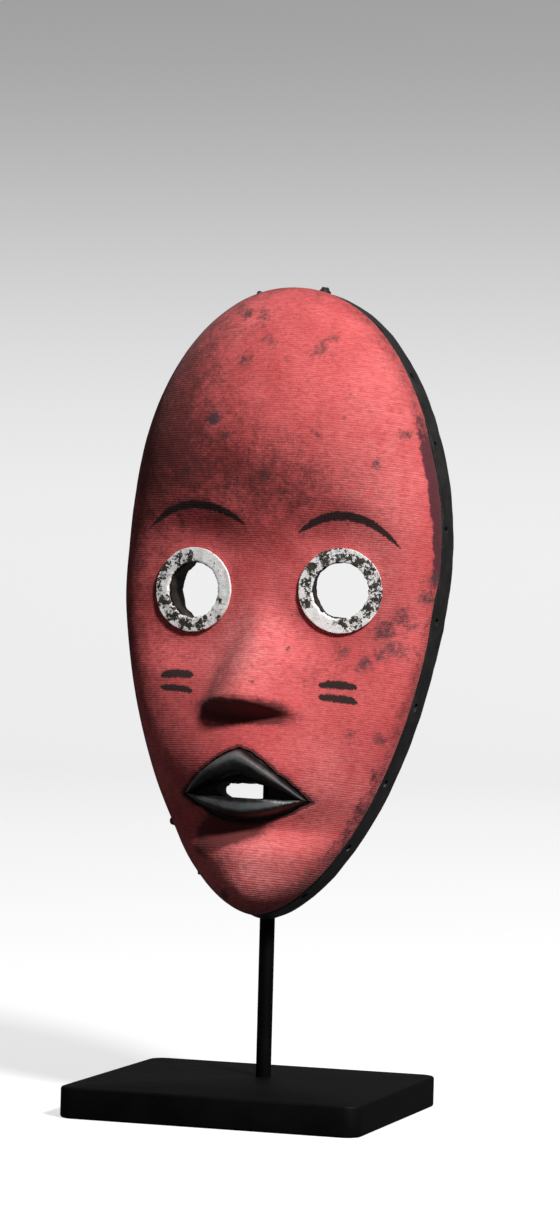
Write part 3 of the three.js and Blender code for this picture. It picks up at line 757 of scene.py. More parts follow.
def wood_material():
    """Blackened wood: satin and worn on the rim, polished on the lips with a painted highlight along
    their crests, brown in the hollow.
    """
    paint = Paint("black_wood")
    place = paint.attribute("mask_place", "Vector")
    hollow = paint.attribute("hollow")
    polish_and_highlight = paint.attribute("polish_and_highlight")
    grain = paint.noise(paint.scaled(place, (1.0, 1.0, 0.10)), 0.9, 4.0, 0.6, 0.6)
    cloudy = paint.noise(place, 8.0, 5.0, 0.65)
    fine = paint.noise(place, 1.3, 4.0, 0.7)
    wear = paint.ramp(paint.attribute("wear") + (fine - 0.5) * 1.3, 0.45, 0.95)

    black = paint.mix(paint.ramp(cloudy, 0.35, 0.7), (0.005, 0.005, 0.005), (0.015, 0.013, 0.012))
    black = paint.mix(wear * 0.75, black, (0.115, 0.062, 0.040))
    brown = paint.mix(paint.ramp(cloudy, 0.3, 0.7), (0.080, 0.043, 0.026), (0.190, 0.105, 0.060))
    brown = paint.mix(paint.ramp(grain, 0.35, 0.75, 0.0, 0.5), brown, (0.050, 0.027, 0.017))
    colour = paint.mix(hollow, black, brown)
    # painted highlight, partly worn grey wood: the lips' crests are painted a lighter grey
    crest_polish_and_highlight = paint.ramp(polish_and_highlight + (cloudy - 0.5) * 0.5, 0.56, 0.94)
    colour = paint.mix(crest_polish_and_highlight, colour, (0.100, 0.103, 0.106))

    normal = paint.bump(grain, 0.16)
    normal = paint.bump(fine, 0.14, normal)
    dull = hollow * 0.22 + (cloudy - 0.5) * 0.25 + wear * 0.15 + 0.56
    paint.set(Base_Color=colour, Normal=normal, Roughness=dull - polish_and_highlight * 0.26)
    paint.set(Specular_IOR_Level=0.4)
    return paint.material


def metal_material():
    """Thin beaten aluminium, dull and scuffed, with patches of old black paint."""
    paint = Paint("ring_metal")
    place = paint.attribute("ring_place", "Vector")
    fine = paint.noise(place, 1.1, 5.0, 0.75, 0.3)
    broad = paint.noise(place, 3.0, 3.0, 0.6)
    scratch = paint.noise(paint.scaled(place, (0.25, 1.0, 1.0)), 0.5, 3.0, 0.6)
    ragged = (fine - 0.5) * 2.3 + (broad - 0.5) * 1.9
    patch = paint.ramp(paint.attribute("patch") + ragged, 0.40, 0.50)
    speck = paint.ramp(paint.noise(place, 0.7, 3.0, 0.7), 0.66, 0.70, 0.0, 0.8)
    dark = paint.largest(patch, speck)

    metal = paint.mix(paint.ramp(broad, 0.3, 0.7), (0.78, 0.78, 0.77), (0.98, 0.98, 0.97))
    metal = paint.mix(paint.ramp(scratch, 0.5, 0.75, 0.0, 0.4), metal, (0.42, 0.42, 0.41))
    black = paint.mix(paint.ramp(broad, 0.42, 0.58), (0.009, 0.008, 0.008), (0.034, 0.029, 0.019))

    normal = paint.bump(broad, 0.25)
    normal = paint.bump(fine + scratch * 0.4, 0.10, normal)
    normal = paint.bump(dark, 0.06, normal)
    roughness = dark * 0.12 + paint.ramp(fine, 0.3, 0.7, 0.36, 0.56)
    paint.set(Base_Color=paint.mix(dark, metal, black), Normal=normal)
    paint.set(Metallic=(1.0 - dark) * 0.16, Roughness=roughness)
    return paint.material


def steel_material():
    """Matt black lacquer on steel, with a fine orange-peel surface."""
    paint = Paint("stand_steel")
    place = paint.position()
    cloudy = paint.noise(place, 25 * MM, 3.0, 0.6)
    fine = paint.noise(place, 0.7 * MM, 3.0, 0.6)
    scuff = paint.noise(paint.scaled(place, (1.0, 0.25, 1.0)), 3 * MM, 5.0, 0.7)
    colour = paint.mix(paint.ramp(cloudy, 0.3, 0.7), (0.0015, 0.0015, 0.0015), (0.003, 0.003, 0.003))
    colour = paint.mix(paint.ramp(scuff, 0.66, 0.80, 0.0, 0.5), colour, (0.045, 0.044, 0.042))
    roughness = paint.ramp(cloudy, 0.3, 0.7, 0.46, 0.60)
    paint.set(Base_Color=colour, Normal=paint.bump(fine, 0.05), Roughness=roughness)
    paint.set(Specular_IOR_Level=0.08)
    return paint.material


# The cloth


def to_plane(x, z):
    """The face rolled out flat: even steps here are nearly even steps over the dome."""
    angle = np.arctan2(z - WIDEST, x)
    share = np.arcsin(np.clip(outward_share(x, z, EDGE), 0, 1))
    r = share * outline_radius(angle, EDGE)
    return columns(r * np.cos(angle), r * np.sin(angle))


def from_plane(points):
    angle = np.arctan2(points[:, 1], points[:, 0])
    radius = outline_radius(angle, EDGE)
    share = np.sin(np.clip(np.hypot(points[:, 0], points[:, 1]) / radius, 0, np.pi / 2))
    return share * radius * np.cos(angle), WIDEST + share * radius * np.sin(angle)


def cloth_loops():
    """The cloth's cut edges in the rolled-out plane: the rim, the two eyes and the lips."""
    turns = full_turn(EDGE_POINTS["rim"])
    x, z = outline_point(spread_angle(turns), EDGE)
    frayed = 0.7 + 0.9 * on_outline(turns, 7.0, 3.1) + 0.6 * on_outline(turns, 30.0, 8.3)
    torn = smooth_step(0.2, 0.7, on_outline(turns, 4.0, 1.7)) * 2.6
    plain = to_plane(x * 0.99999, WIDEST + (z - WIDEST) * 0.99999)
    inward = 1 - np.clip(frayed + torn, 0.15, 5.0) / np.linalg.norm(plain, axis=1)
    loops = [plain * inward[:, None]]
    for seat in SEATS.values():
        turns = full_turn(EDGE_POINTS["eye"])
        radius = EYE_HOLE_RADIUS + CLOTH_EYE_MARGIN
        m = seat["middle"]
        loops.append(to_plane(m.x + radius * np.cos(turns), m.z + radius * np.sin(turns)))
    turns = full_turn(EDGE_POINTS["lips"])
    x, z = mouth_point(turns, LIPS, 0.6)
    ragged = 0.30 + 0.75 * on_outline(turns, 6.0, 5.2) + 0.45 * on_outline(turns, 22.0, 2.9)
    middle = LIP_CORNER + 3.0
    away = np.hypot(x, z - middle)
    loops.append(to_plane(x * (1 + ragged / away), middle + (z - middle) * (1 + ragged / away)))
    return loops


def arc_lengths():
    """How far the cloth runs up the face for each height, down its middle."""
    z = np.linspace(0, MASK_HEIGHT, 501)
    depth = face_depth(np.zeros_like(z), z)
    steps = np.hypot(np.diff(z), np.diff(depth))
    return z, np.concatenate([[0], np.cumsum(steps)])


def stain_strength(x, z):
    spots = [power * soft_spot(x, z, (sx, sz), (size, size)) for sx, sz, size, power in STAINS]
    return np.max(spots, axis=0)


def grime_and_shade_strength(x, z):
    """Darkening: painted shade down the viewer's left side, away from the light, and under the nose,
    a painted shadow of the lower lip below it, grime along the rim, and the broad darkening, most of
    it painted shade over the brows.
    """
    k = outward_share(x, z, EDGE)
    # painted shade: the viewer's left side, turned away from the light, is darker
    side = 0.56 * smooth_step(0.30, 0.95, k) * smooth_step(2, -40, x) * smooth_step(20, 150, z)
    # painted shade under the nose, where its underside and its shadow fall
    shade_under_nose = 1.5 * soft_spot(x, z, (-2, 77.8), (18, 4.7), 4)
    # painted shadow of the lower lip on the hollow below it
    shadow_under_lip = 1.45 * soft_spot(x, z - 0.34 * (x + 10), (-5, 32.0), (13.5, 8.0), 4)
    rim = 0.45 * smooth_step(0.94, 1.0, k)
    return side + soft_spots(x, z, BROAD_DARKENING) + shade_under_nose + shadow_under_lip + rim


def fringe_strength(x, z):
    """The purple-black, half worn edge of the cloth along the viewer's right side."""
    k = outward_share(x, z, EDGE)
    turns = np.arctan2(z - WIDEST, x)
    ragged = 0.012 * on_outline(turns, 9.0, 4.4) + 0.009 * on_outline(turns, 26.0, 7.7)
    side = np.exp(-(((z - 163) / 34) ** 4)) + 0.45 * np.exp(-(((z - 45) / 26) ** 4))
    return smooth_step(0, 25, x) * side * smooth_step(0.955, 0.980, k + ragged)


def on_both_sides(values):
    return np.concatenate([values, values])


def cloth_mesh(triangles, front, back):
    """A closed sheet: the front, the back turned over, and a strip along each cut edge."""
    count = len(front)
    edges = [edge for a, b, c in triangles for edge in [(a, b), (b, c), (c, a)]]
    known = set(edges)
    faces = [tuple(t) for t in triangles]
    faces += [(c + count, b + count, a + count) for a, b, c in triangles]
    faces += [(b, a, a + count, b + count) for a, b in edges if (b, a) not in known]
    return new_mesh("cloth_cover", np.concatenate([front, back]), faces, MASK_TO_ROW)


def cloth_cover():
    loops = cloth_loops()
    flat, triangles = filled_region(loops[0], loops[1:], CLOTH_MESH)
    x, z = from_plane(flat)
    edge_gap = distance_to(flat, np.concatenate(loops))
    out = CLOTH_CUT + (CLOTH_OUT - CLOTH_CUT) * smooth_step(0, 2.4, edge_gap)
    front = raised(carved_depth, x, z, out)
    puckers = 0.16 * unevenness(front, 9.0, 4.0) + 0.07 * unevenness(front, 3.2, 9.0)
    front[:, 1] -= puckers * smooth_step(0, 3, edge_gap)
    mesh = cloth_mesh(triangles, front, raised(carved_depth, x, z, CLOTH_IN))

    run = np.interp(z, *arc_lengths())
    thread = columns(x * ACROSS_STRETCH, run, np.zeros_like(x))
    add_vectors(mesh, "mask_place", places_in_mask(mesh))
    add_vectors(mesh, "thread_place", on_both_sides(thread))
    numbers = {
        "stain": stain_strength(x, z),
        "grime_and_shade": grime_and_shade_strength(x, z),
        "fringe": fringe_strength(x, z),
        "fade_and_light": soft_spots(x, z, FADES_AND_PAINTED_LIGHT),
        "cut": 1 - smooth_step(0.2, 2.2, edge_gap),
    }
    for name, values in numbers.items():
        add_numbers(mesh, name, on_both_sides(values))
    piece = new_piece("cloth_cover_cloth", mesh, cloth_material(), "cloth_cover", 60)


# The carved wood


def rim_points(angles, x, z, grow, deep):
    """A ring on the band or the back of the rim, worn uneven."""
    points = columns(x, np.full_like(x, -deep), z)
    worn = 0.28 * unevenness(points, 7.0, 2.0) + 0.14 * unevenness(points, 2.6, 6.0)
    outward = columns(np.cos(angles), np.zeros_like(x), np.sin(angles))
    if EDGE < grow and deep > 0.3:
        points += outward * (worn - 0.12)[:, None]
    elif deep < 0.3:
        points[:, 1] -= np.abs(worn)
    return points


def wood_rings():
    """Rings of points from the front's pole over the rim to the hollow's pole."""
    angles = spread_angle(full_turn(WOOD_SIDES))
    rings = []

    def ring(share, grow):
        x, z = outline_point(angles, grow)
        return x * share, MESH_CENTRE + (z - MESH_CENTRE) * share

    for t in np.linspace(0.03, 0.5, 44) * np.pi:
        x, z = ring(min(np.sin(t), 0.99995), EDGE)
        rings.append(columns(x, -carved_depth(x, z), z))
    for grow, deep in RIM_SECTION:
        rings.append(rim_points(angles, *ring(1, grow), grow, deep))
    for t in np.linspace(0.5, 0.02, 42) * np.pi:
        share = min(np.sin(t), 0.9995)
        x, z = ring(share, -RIM_WIDTH)
        points = columns(x, -hollow_depth(x, z), z)
        points[:, 1] += hollow_cuts(points) * smooth_step(1.0, 0.93, share)
        rings.append(points)
    return rings


def hollow_cuts(points):
    """Shallow scoops of an adze."""
    cuts = []
    for x, y, z in points:
        place = Vector((x / 9.0, y / 9.0, z / 15.0))
        near = noise.voronoi(place, distance_metric="DISTANCE")[0]
        cuts.append(SCOOP_DEPTH * min(near[0], 1.0) ** 2 - 0.5)
    return np.array(cuts)


def lathe_cutter(middle, normal, section, wobble, seed):
    """A round cutter along a normal, from (radius, place) pairs, with a hand-cut side."""
    turns = full_turn(CUTTER_SIDES)
    east = Vector((0, 0, 1)).cross(normal).normalized()
    north = normal.cross(east)
    points = []
    for k, (radius, depth) in enumerate(section):
        uneven = 1 + wobble * on_outline(turns, 3.0, seed + 0.15 * k)
        uneven += 0.5 * wobble * on_outline(turns, 11.0, seed + 7 + 0.1 * k)
        for turn, share in zip(turns, uneven):
            side = east * np.cos(turn) + north * np.sin(turn)
            points.append(middle + normal * depth + side * radius * share)
    return points, capped_faces(len(section), CUTTER_SIDES)


def prism_cutter(x, z, depth_from, depth_to):
    low = columns(x, np.full(len(x), -depth_from), z)
    high = columns(x, np.full(len(x), -depth_to), z)
    return np.concatenate([low, high]), capped_faces(2, len(x))


def slot_outline():
    """The pierced opening between the lips: bumpy above, and narrowing to the left."""
    turns = full_turn(SLOT_SIDES)
    centre_x, half_x = (SLOT_LOW[0] + SLOT_HIGH[0]) / 2, (SLOT_HIGH[0] - SLOT_LOW[0]) / 2
    centre_z, half_z = (SLOT_LOW[1] + SLOT_HIGH[1]) / 2, (SLOT_HIGH[1] - SLOT_LOW[1]) / 2
    cosine, sine = np.cos(turns), np.sin(turns)
    x = centre_x + half_x * np.sign(cosine) * np.abs(cosine) ** 0.45
    taper = 1 - 0.4 * smooth_step(0.3, 1.0, -cosine)
    z = LIP_CORNER + centre_z + half_z * taper * np.sign(sine) * np.abs(sine) ** 0.45
    bumpy = 0.7 * on_outline(turns, 7.0, 6.1) + 0.4 * on_outline(turns, 18.0, 1.3)
    return x, z + bumpy * smooth_step(0.0, 0.7, sine)


def cut(body, parts):
    """Takes cutters, each (points, faces), out of a body object."""
    cutters = []
    for points, faces in parts:
        cutter = new_object("cutter", new_mesh("cutter", points, faces, MASK_TO_ROW))
        cutters.append(cutter)
        step = body.modifiers.new("cut", "BOOLEAN")
        step.object = cutter
        step.operation = "DIFFERENCE"
        step.solver = "EXACT"
    bpy.context.view_layer.update()
    graph = bpy.context.evaluated_depsgraph_get()
    made = bpy.data.meshes.new_from_object(body.evaluated_get(graph))
    for item in [*cutters, body]:
        bpy.data.objects.remove(item)
    return made


def joined(parts):
    """One part from several (points, faces) parts that don't share points."""
    points, faces, count = [], [], 0
    for more_points, more_faces in parts:
        points += [Vector(p) for p in more_points]
        faces += [tuple(count + i for i in face) for face in more_faces]
        count += len(more_points)
    return points, faces


def thread_hole_cutters():
    parts = []
    sizes = [(1.15, 0), (1, 3), (0.9, THREAD_HOLE_DEPTH)]
    section = [(THREAD_HOLE_RADIUS * share, depth) for share, depth in sizes]
    for i in range(THREAD_HOLES):
        turn = 2 * np.pi * (i + 0.5) / THREAD_HOLES
        x, z = outline_point(spread_angle(turn), 1.5)
        inward = Vector((-np.cos(turn) * MASK_HEIGHT, 0, -np.sin(turn) * 2 * HALF_WIDTH))
        start = Vector((x, -THREAD_HOLE_DEEP, z))
        parts.append(lathe_cutter(start, inward.normalized(), section, 0.10, 10.0 + i))
    return joined(parts)


def carved_lips():
    """Two polished lips round the mouth, with the soft crests left by the knife."""
    turns = full_turn(LIP_SIDES)
    outer_x, outer_z = mouth_point(turns, LIPS, 0.0)
    inner_x, inner_z = mouth_point(turns, MOUTH, 0.0)
    swell = LIP_RISE * (0.25 + 0.75 * np.abs(np.sin(turns)) ** 0.6)
    rings = []
    for share, up in LIP_SECTION:
        x = outer_x + (inner_x - outer_x) * share
        z = outer_z + (inner_z - outer_z) * share
        depth = face_depth(x, z) + swell * np.maximum(up, 0) + LIP_RISE * 0.6 * min(up, 0)
        ring = columns(x, -depth, z)
        if 0.1 < share < 0.95:
            ring[:, 1] -= 0.16 * unevenness(ring, 4.0, 5.0) + 0.10 * unevenness(ring, 1.8, 8.0)
        rings.append(ring)
    return np.concatenate(rings), ring_faces(len(rings), LIP_SIDES, closed=True)


def lip_polish_and_highlight():
    """How polished each point of the lips is, and how much painted highlight it gets: most on the
    crests, in ring order.
    """
    turns = full_turn(LIP_SIDES)
    middle = np.where(np.sin(turns) > 0, 0.3, 0.6)
    rings = [0.55 + 0.45 * np.exp(-(((share - middle) / 0.2) ** 2)) for share, _ in LIP_SECTION]
    return np.concatenate(rings)


def burr(x, z, size):
    """A rough knot of wood and old fibre that stands a little proud of the band."""
    bm = bmesh.new()
    bmesh.ops.create_icosphere(bm, subdivisions=3, radius=size)
    for v in bm.verts:
        v.co *= 1 + 0.35 * noise.noise(v.co / (0.6 * size) + Vector((x, z, 0)))
        v.co.y *= 1.25
    angle = np.arctan2(z - WIDEST, x)
    px, pz = outline_point(angle, -0.45 * size)
    points = [v.co + Vector((px, -BAND_DEPTH + 1.6 * size, pz)) for v in bm.verts]
    faces = [tuple(v.index for v in f.verts) for f in bm.faces]
    bm.free()
    return points, faces


def wood_body():
    """The shell, with its eyes, mouth, slot and sewing holes cut out."""
    rings = wood_rings()
    points = np.concatenate(rings)
    faces = ring_faces(len(rings), WOOD_SIDES)
    faces.append(tuple(range(WOOD_SIDES - 1, -1, -1)))
    faces.append(tuple(range(len(points) - WOOD_SIDES, len(points))))
    body = new_object("wooden_mask_body", new_mesh("wooden_mask", points, faces, MASK_TO_ROW))

    parts = []
    section = [(EYE_HOLE_RADIUS * share, depth) for share, depth in EYE_CUT]
    for number, seat in enumerate(SEATS.values()):
        parts.append(lathe_cutter(seat["middle"], seat["normal"], section, 0.065, 25.0 + number))
    floor = face_depth(0, LIP_CORNER) - MOUTH_FLOOR
    limit = BAND_DEPTH + FACE_DEPTH + NOSE_RISE
    parts.append(prism_cutter(*mouth_point(full_turn(MOUTH_SIDES), MOUTH, 0.0), floor, limit))
    parts.append(prism_cutter(*slot_outline(), 0.0, limit))
    parts.append(thread_hole_cutters())
    return cut(body, parts)


def add_wood_marks(mesh, first_lip_point):
    """Where the wood is hollow, polished and worn, and where the lips' crests get a painted
    highlight, for its paint.
    """
    place = places_in_mask(mesh)
    x, depth, z = place[:, 0], -place[:, 1], place[:, 2]
    behind = hollow_depth(x, z) - depth
    in_hollow = smooth_step(-1.6, -0.4, behind) * (outward_share(x, z, -RIM_WIDTH) < 1.02)
    eye_wall = np.zeros_like(x)
    for seat in SEATS.values():
        away = np.hypot(x - seat["middle"].x, z - seat["middle"].z)
        eye_wall = np.maximum(eye_wall, 1 - smooth_step(12.4, 13.2, away))
    polish_and_highlight = np.zeros(len(place))
    crest_polish_and_highlight = lip_polish_and_highlight()
    polish_and_highlight[first_lip_point : first_lip_point + len(crest_polish_and_highlight)] = crest_polish_and_highlight
    rim_edge = np.exp(-(((depth - 1.0) / 1.4) ** 2)) + 0.7 * np.exp(-(((depth - 12.8) / 0.9) ** 2))
    on_band = smooth_step(0.93, 0.97, outward_share(x, z, 0)) * (1 - in_hollow)
    chip = soft_spot(x, z, (-4.5, 41.0), (3.0, 2.0))
    add_vectors(mesh, "mask_place", place)
    add_numbers(mesh, "hollow", np.maximum(in_hollow * (1 - polish_and_highlight), eye_wall * 0.12))
    add_numbers(mesh, "polish_and_highlight", polish_and_highlight)
    add_numbers(mesh, "wear", 0.55 * rim_edge * on_band + 0.75 * chip * polish_and_highlight)


def wooden_mask():
    whole = bmesh.new()
    whole.from_mesh(wood_body())
    body_points = len(whole.verts)
    lips_and_burrs = joined([carved_lips(), *(burr(*b) for b in BURRS)])
    whole.from_mesh(new_mesh("lips", *lips_and_burrs, MASK_TO_ROW))
    bmesh.ops.triangulate(whole, faces=[f for f in whole.faces if len(f.verts) > 4])
    mesh = bpy.data.meshes.new("wooden_mask")
    whole.to_mesh(mesh)
    whole.free()
    add_wood_marks(mesh, body_points)
    new_piece("wooden_mask_wood", mesh, wood_material(), "wooden_mask", 38)


# The metal eye rings


def ring_patches(side, turns):
    """How black each point of a ring is, in the order of RING_SECTION."""
    turns = np.tile(turns, len(RING_SECTION))
    shares = np.repeat([share for share, _ in RING_SECTION], RING_SIDES)
    patch = np.zeros(len(turns))
    for clock, across, size in RING_PATCHES[side]:
        swing = (turns - np.radians(clock) + np.pi) % (2 * np.pi) - np.pi
        reach = np.hypot(swing * 14 / (6.4 * size), (shares - across) / (0.85 * size + 0.15))
        patch = np.maximum(patch, 0.68 * np.exp(-(reach**2)))
    return patch


def eye_ring(side, material):
    """A flat ring cut by hand from thin beaten sheet, its edges and face uneven."""
    seat = SEATS[side]
    normal = seat["normal"]
    seed = RING_SEEDS[side]
    turns = full_turn(RING_SIDES)
    snips = np.round(turns / (2 * np.pi) * RING_SNIPS) / RING_SNIPS * 2 * np.pi
    outer = RING_OUTER_RADIUS * (1 + 0.012 * on_outline(turns, 2.2, seed))
    outer *= 1 - 0.30 * (1 - np.cos(turns - snips))
    torn = 0.42 * on_outline(turns, 6.0, seed + 2) + 0.30 * on_outline(turns, 24.0, seed + 5)
    inner = RING_INNER_RADIUS + torn
    east = Vector((0, 0, 1)).cross(normal).normalized()
    east = -east if east.x < 0 else east
    north = (Vector((0, 0, 1)) - normal * normal.z).normalized()
    base = seat["middle"] + normal * (CLOTH_OUT + GAP)
    points, places = [], []
    for share, height in RING_SECTION:
        radius = inner + (outer - inner) * share
        x, y = radius * np.cos(turns), radius * np.sin(turns)
        flat = columns(x, y, np.full(RING_SIDES, height))
        beaten = 0.16 * unevenness(flat, 3.4, seed) + 0.08 * unevenness(flat, 1.5, seed + 3)
        lift = RING_THICKNESS * height + beaten * (height > 0.2)
        points += [base + east * a + north * b + normal * c for a, b, c in zip(x, y, lift)]
        places.append(flat)
    faces = ring_faces(len(RING_SECTION), RING_SIDES, closed=True)
    mesh = new_mesh(f"eye_ring_{side}", points, faces, MASK_TO_ROW)
    add_vectors(mesh, "ring_place", np.concatenate(places) + seed)
    add_numbers(mesh, "patch", ring_patches(side, turns))
    new_piece(f"eye_ring_{side}_metal", mesh, material, f"eye_ring_{side}", 40)


# The steel stand


def cradle_point(x):
    """Highest the bow's middle line may run under the crown, inside the hollow."""
    back = MASK_TO_ROW.inverted()
    clear = CRADLE_RADIUS + CRADLE_CLEARANCE
    turns = full_turn(16)
    z = FOOT_THICKNESS + ROD_SHOWING + MASK_HEIGHT
    while True:
        around = [(x, ROD_SETBACK + clear * np.cos(t), z + clear * np.sin(t)) for t in turns]
        px, py, pz = np.array([back @ Vector(point) for point in around]).T
        if np.all(-py <= hollow_depth(px, pz)) and np.all(outward_share(px, pz, -RIM_WIDTH) < 1):
            return Vector((x, ROD_SETBACK, z))
        z -= 0.25


def smooth_path(points, steps):
    """Catmull-Rom curve through points, `steps` pieces between each two."""
    ends = [points[0] * 2 - points[1], *points, points[-1] * 2 - points[-2]]
    path = []
    for a, b, c, d in zip(ends, ends[1:], ends[2:], ends[3:]):
        for t in np.linspace(0, 1, steps, endpoint=False):
            part = b * 2 + (c - a) * t + (a * 2 - b * 5 + c * 4 - d) * t**2
            path.append((part + (b * 3 - a - c * 3 + d) * t**3) / 2)
    return [*path, points[-1]]


def tube(path, radii):
    """A round tube along a path of points, closed at both ends."""
    points = []
    for i, point in enumerate(path):
        ahead = (path[min(i + 1, len(path) - 1)] - path[max(i - 1, 0)]).normalized()
        east = ahead.cross(Vector((0, 1, 0))).normalized()
        north = ahead.cross(east)
        for t in full_turn(ROD_SIDES):
            points.append(point + (east * np.cos(t) + north * np.sin(t)) * radii[i])
    return points, capped_faces(len(path), ROD_SIDES)


def rounded_ends(path, radius):
    """The path with its ends drawn out into half balls, and a radius for each point."""
    turns = np.linspace(0.04, 0.5, 8) * np.pi
    first = (path[0] - path[1]).normalized()
    last = (path[-1] - path[-2]).normalized()
    start = [path[0] - first * radius + first * radius * np.cos(t) for t in turns]
    end = [path[-1] - last * radius + last * radius * np.cos(t) for t in turns[::-1]]
    inner = [p for p in path[1:-1] if min((p - path[0]).length, (p - path[-1]).length) > radius]
    caps = [radius * np.sin(t) for t in turns]
    return [*start, *inner, *end], [*caps, *([radius] * len(inner)), *caps[::-1]]


def stand_rod(material):
    """The rod, the bow that the crown hangs on, and the bead of weld between them."""
    shares = [-1, -0.67, -0.33, 0, 0.33, 0.67, 1]
    bow = smooth_path([cradle_point(share * CRADLE_HALF_WIDTH) for share in shares], 8)
    top = cradle_point(0).z
    foot = FOOT_THICKNESS - ROD_SOCKET_DEPTH + GAP
    heights = [foot, foot + 0.4, foot + 20, (foot + top) / 2, top - 6, top - 2.5, top - 1, top]
    widths = [ROD_RADIUS] * len(heights)
    widths[0] = widths[-2] = ROD_RADIUS - 0.4
    widths[-1] = ROD_RADIUS - 1.4
    rod = tube([Vector((0, ROD_SETBACK, h)) for h in heights], widths)
    across = np.linspace(-WELD_HALF_WIDTH, WELD_HALF_WIDTH, 13)
    bead = [Vector((x, ROD_SETBACK, cradle_point(x).z - 0.3)) for x in across]
    swell = [CRADLE_RADIUS + np.sin(t) ** 0.7 for t in np.linspace(0.02, np.pi - 0.02, 13)]
    parts = [rod, tube(*rounded_ends(bow, CRADLE_RADIUS)), tube(bead, swell)]
    mesh = new_mesh("stand_rod", *joined(parts))
    new_piece("stand_rod_steel", mesh, material, "stand_rod", 50)


def rounded_rectangle(inset, height):
    half_x, half_y = FOOT_WIDTH / 2 - inset, FOOT_LENGTH / 2 - inset
    r = FOOT_CORNER - inset * 0.5
    points = []
    for corner, (sx, sy) in enumerate([(1, 1), (-1, 1), (-1, -1), (1, -1)]):
        for t in np.linspace(0, np.pi / 2, 9):
            angle = corner * np.pi / 2 + t
            x = sx * (half_x - r) + r * np.cos(angle)
            y = sy * (half_y - r) + r * np.sin(angle)
            points.append(Vector((x, y, height)))
    return points


def stand_foot(material):
    """A heavy steel plate with softened edges and a drilled socket for the rod."""
    quarter = np.linspace(0, np.pi / 2, 5)
    low = [(1 - np.sin(t), FOOT_BEVEL * (1 - np.cos(t))) for t in quarter]
    high = [(1 - np.cos(t), FOOT_THICKNESS - FOOT_BEVEL * (1 - np.sin(t))) for t in quarter]
    rings = [rounded_rectangle(FOOT_BEVEL * share, height) for share, height in [*low, *high]]
    spokes = [Vector((p.x, p.y - ROD_SETBACK, 0)).normalized() for p in rings[0]]
    hole = ROD_RADIUS + GAP
    bottom = FOOT_THICKNESS - ROD_SOCKET_DEPTH
    socket = [(hole + 0.5, FOOT_THICKNESS), (hole, FOOT_THICKNESS - 0.4), (hole, bottom)]
    for radius, height in socket:
        rings.append([Vector((0, ROD_SETBACK, height)) + s * radius for s in spokes])
    points = [p for ring in rings for p in ring]
    mesh = new_mesh("stand_foot", points, capped_faces(len(rings), len(rings[0])))
    new_piece("stand_foot_steel", mesh, material, "stand_foot", 30)


# Studio: floor, light and camera


def studio():
    """A pale floor that curves up into a round wall, far from the object. It glows with painted
    light, brightest near the floor and dimmer up the wall, and it gives the object no light,
    reflection or shadow.
    """
    flat, rise = STUDIO_RADIUS - STUDIO_COVE, STUDIO_COVE
    section = [(STUDIO_RADIUS * s, 0.0) for s in [0.04, 0.1, 0.25, 0.5]]
    bend = np.linspace(0, np.pi / 2, 14)
    section += [(flat + rise * np.sin(t), rise - rise * np.cos(t)) for t in bend]
    section += [(STUDIO_RADIUS, height) for height in [2.4, 4.0, 6.0]]
    turns = full_turn(STUDIO_SIDES)
    points = np.array([(r * np.cos(t), r * np.sin(t), h) for r, h in section for t in turns])
    faces = ring_faces(len(section), STUDIO_SIDES)
    faces.append(tuple(range(STUDIO_SIDES)))
    mesh = new_mesh("studio", points / MM, faces)
    mesh.shade_smooth()
    paint = Paint("studio_paper_glow")
    # painted light: the glow is brightest near the floor and fades up the wall
    glow = paint.ramp(paint.part(paint.position(), "Z"), 0.25, 1.15, 0.66, 0.16)
    paint.set(Base_Color=(0.42, 0.42, 0.425, 1.0), Roughness=0.9, Specular_IOR_Level=0.1)
    paint.set(Emission_Color=(1.0, 1.0, 1.0, 1.0), Emission_Strength=glow)
    mesh.materials.append(paint.material)
    room = new_object("studio", mesh)
    room.visible_diffuse = False
    room.visible_glossy = False
    room.visible_shadow = False


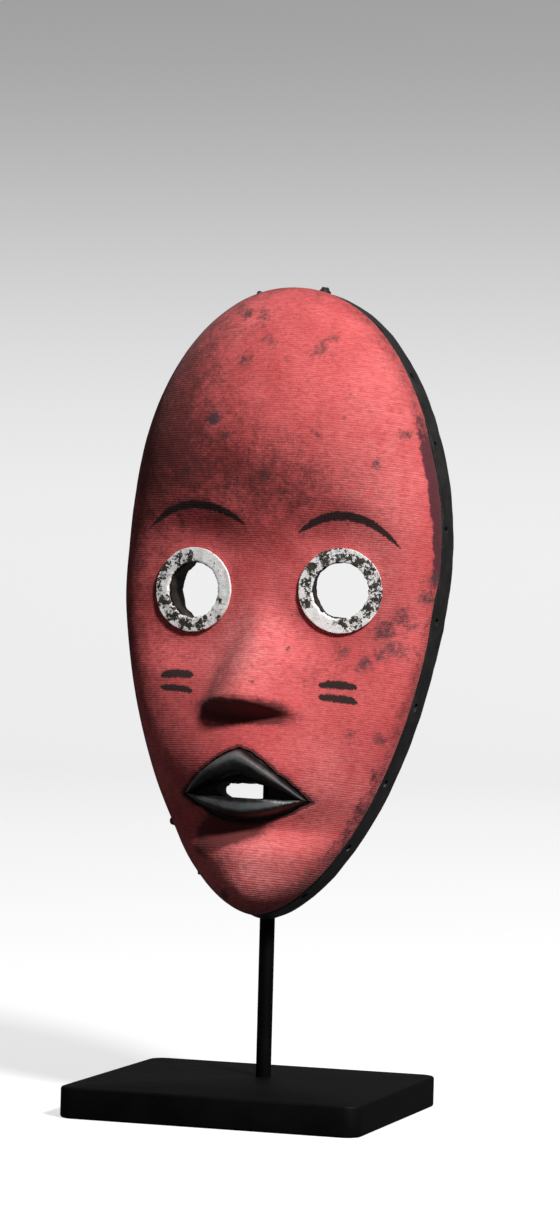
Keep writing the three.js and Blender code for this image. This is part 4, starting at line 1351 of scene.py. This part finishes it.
def area_light(name, size, power, colour, place, aim):
    data = bpy.data.lights.new(name, "AREA")
    data.shape = "DISK"
    data.size = size
    data.energy = power
    data.color = colour
    lamp = new_object(name, data)
    lamp.location = place
    lamp.rotation_mode = "QUATERNION"
    lamp.rotation_quaternion = (Vector(aim) - Vector(place)).to_track_quat("-Z", "Y")


def lights():
    world = bpy.data.worlds.new("studio_air")
    world.use_nodes = True
    air = world.node_tree.nodes["Background"]
    air.inputs["Color"].default_value = (0.95, 0.97, 1.0, 1.0)
    air.inputs["Strength"].default_value = AIR_STRENGTH
    bpy.context.scene.world = world
    for light in LIGHTS:
        area_light(**light)


def camera():
    across = Vector((np.cos(CAMERA_YAW), np.sin(CAMERA_YAW), 0))
    back = Vector((np.sin(CAMERA_YAW), -np.cos(CAMERA_YAW), 0))
    up = Vector((0, 0, 1))
    right = across * np.cos(CAMERA_ROLL) + up * np.sin(CAMERA_ROLL)
    top = up * np.cos(CAMERA_ROLL) - across * np.sin(CAMERA_ROLL)
    slide_right, slide_up = CAMERA_SLIDE
    place = CAMERA_TARGET + back * CAMERA_DISTANCE + right * slide_right + top * slide_up
    data = bpy.data.cameras.new("camera")
    data.lens = CAMERA_LENS
    data.sensor_width = 36.0
    data.clip_start = 0.05
    data.clip_end = 50.0
    eye = new_object("camera", data)
    axes = Matrix((right, top, back)).transposed()
    eye.matrix_world = Matrix.Translation(place) @ axes.to_4x4()
    bpy.context.scene.camera = eye


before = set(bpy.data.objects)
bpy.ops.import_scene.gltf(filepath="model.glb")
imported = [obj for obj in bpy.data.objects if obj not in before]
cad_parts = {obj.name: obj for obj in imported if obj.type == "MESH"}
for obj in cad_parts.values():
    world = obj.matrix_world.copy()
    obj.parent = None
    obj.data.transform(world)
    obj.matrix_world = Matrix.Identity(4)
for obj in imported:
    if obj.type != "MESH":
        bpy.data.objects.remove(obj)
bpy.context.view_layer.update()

camera()
cloth_cover()
wooden_mask()
ring_metal = metal_material()
for ring_side in EYES:
    eye_ring(ring_side, ring_metal)
stand_steel = steel_material()
stand_rod(stand_steel)
stand_foot(stand_steel)
studio()
lights()
bpy.context.scene.view_settings.view_transform = "Standard"
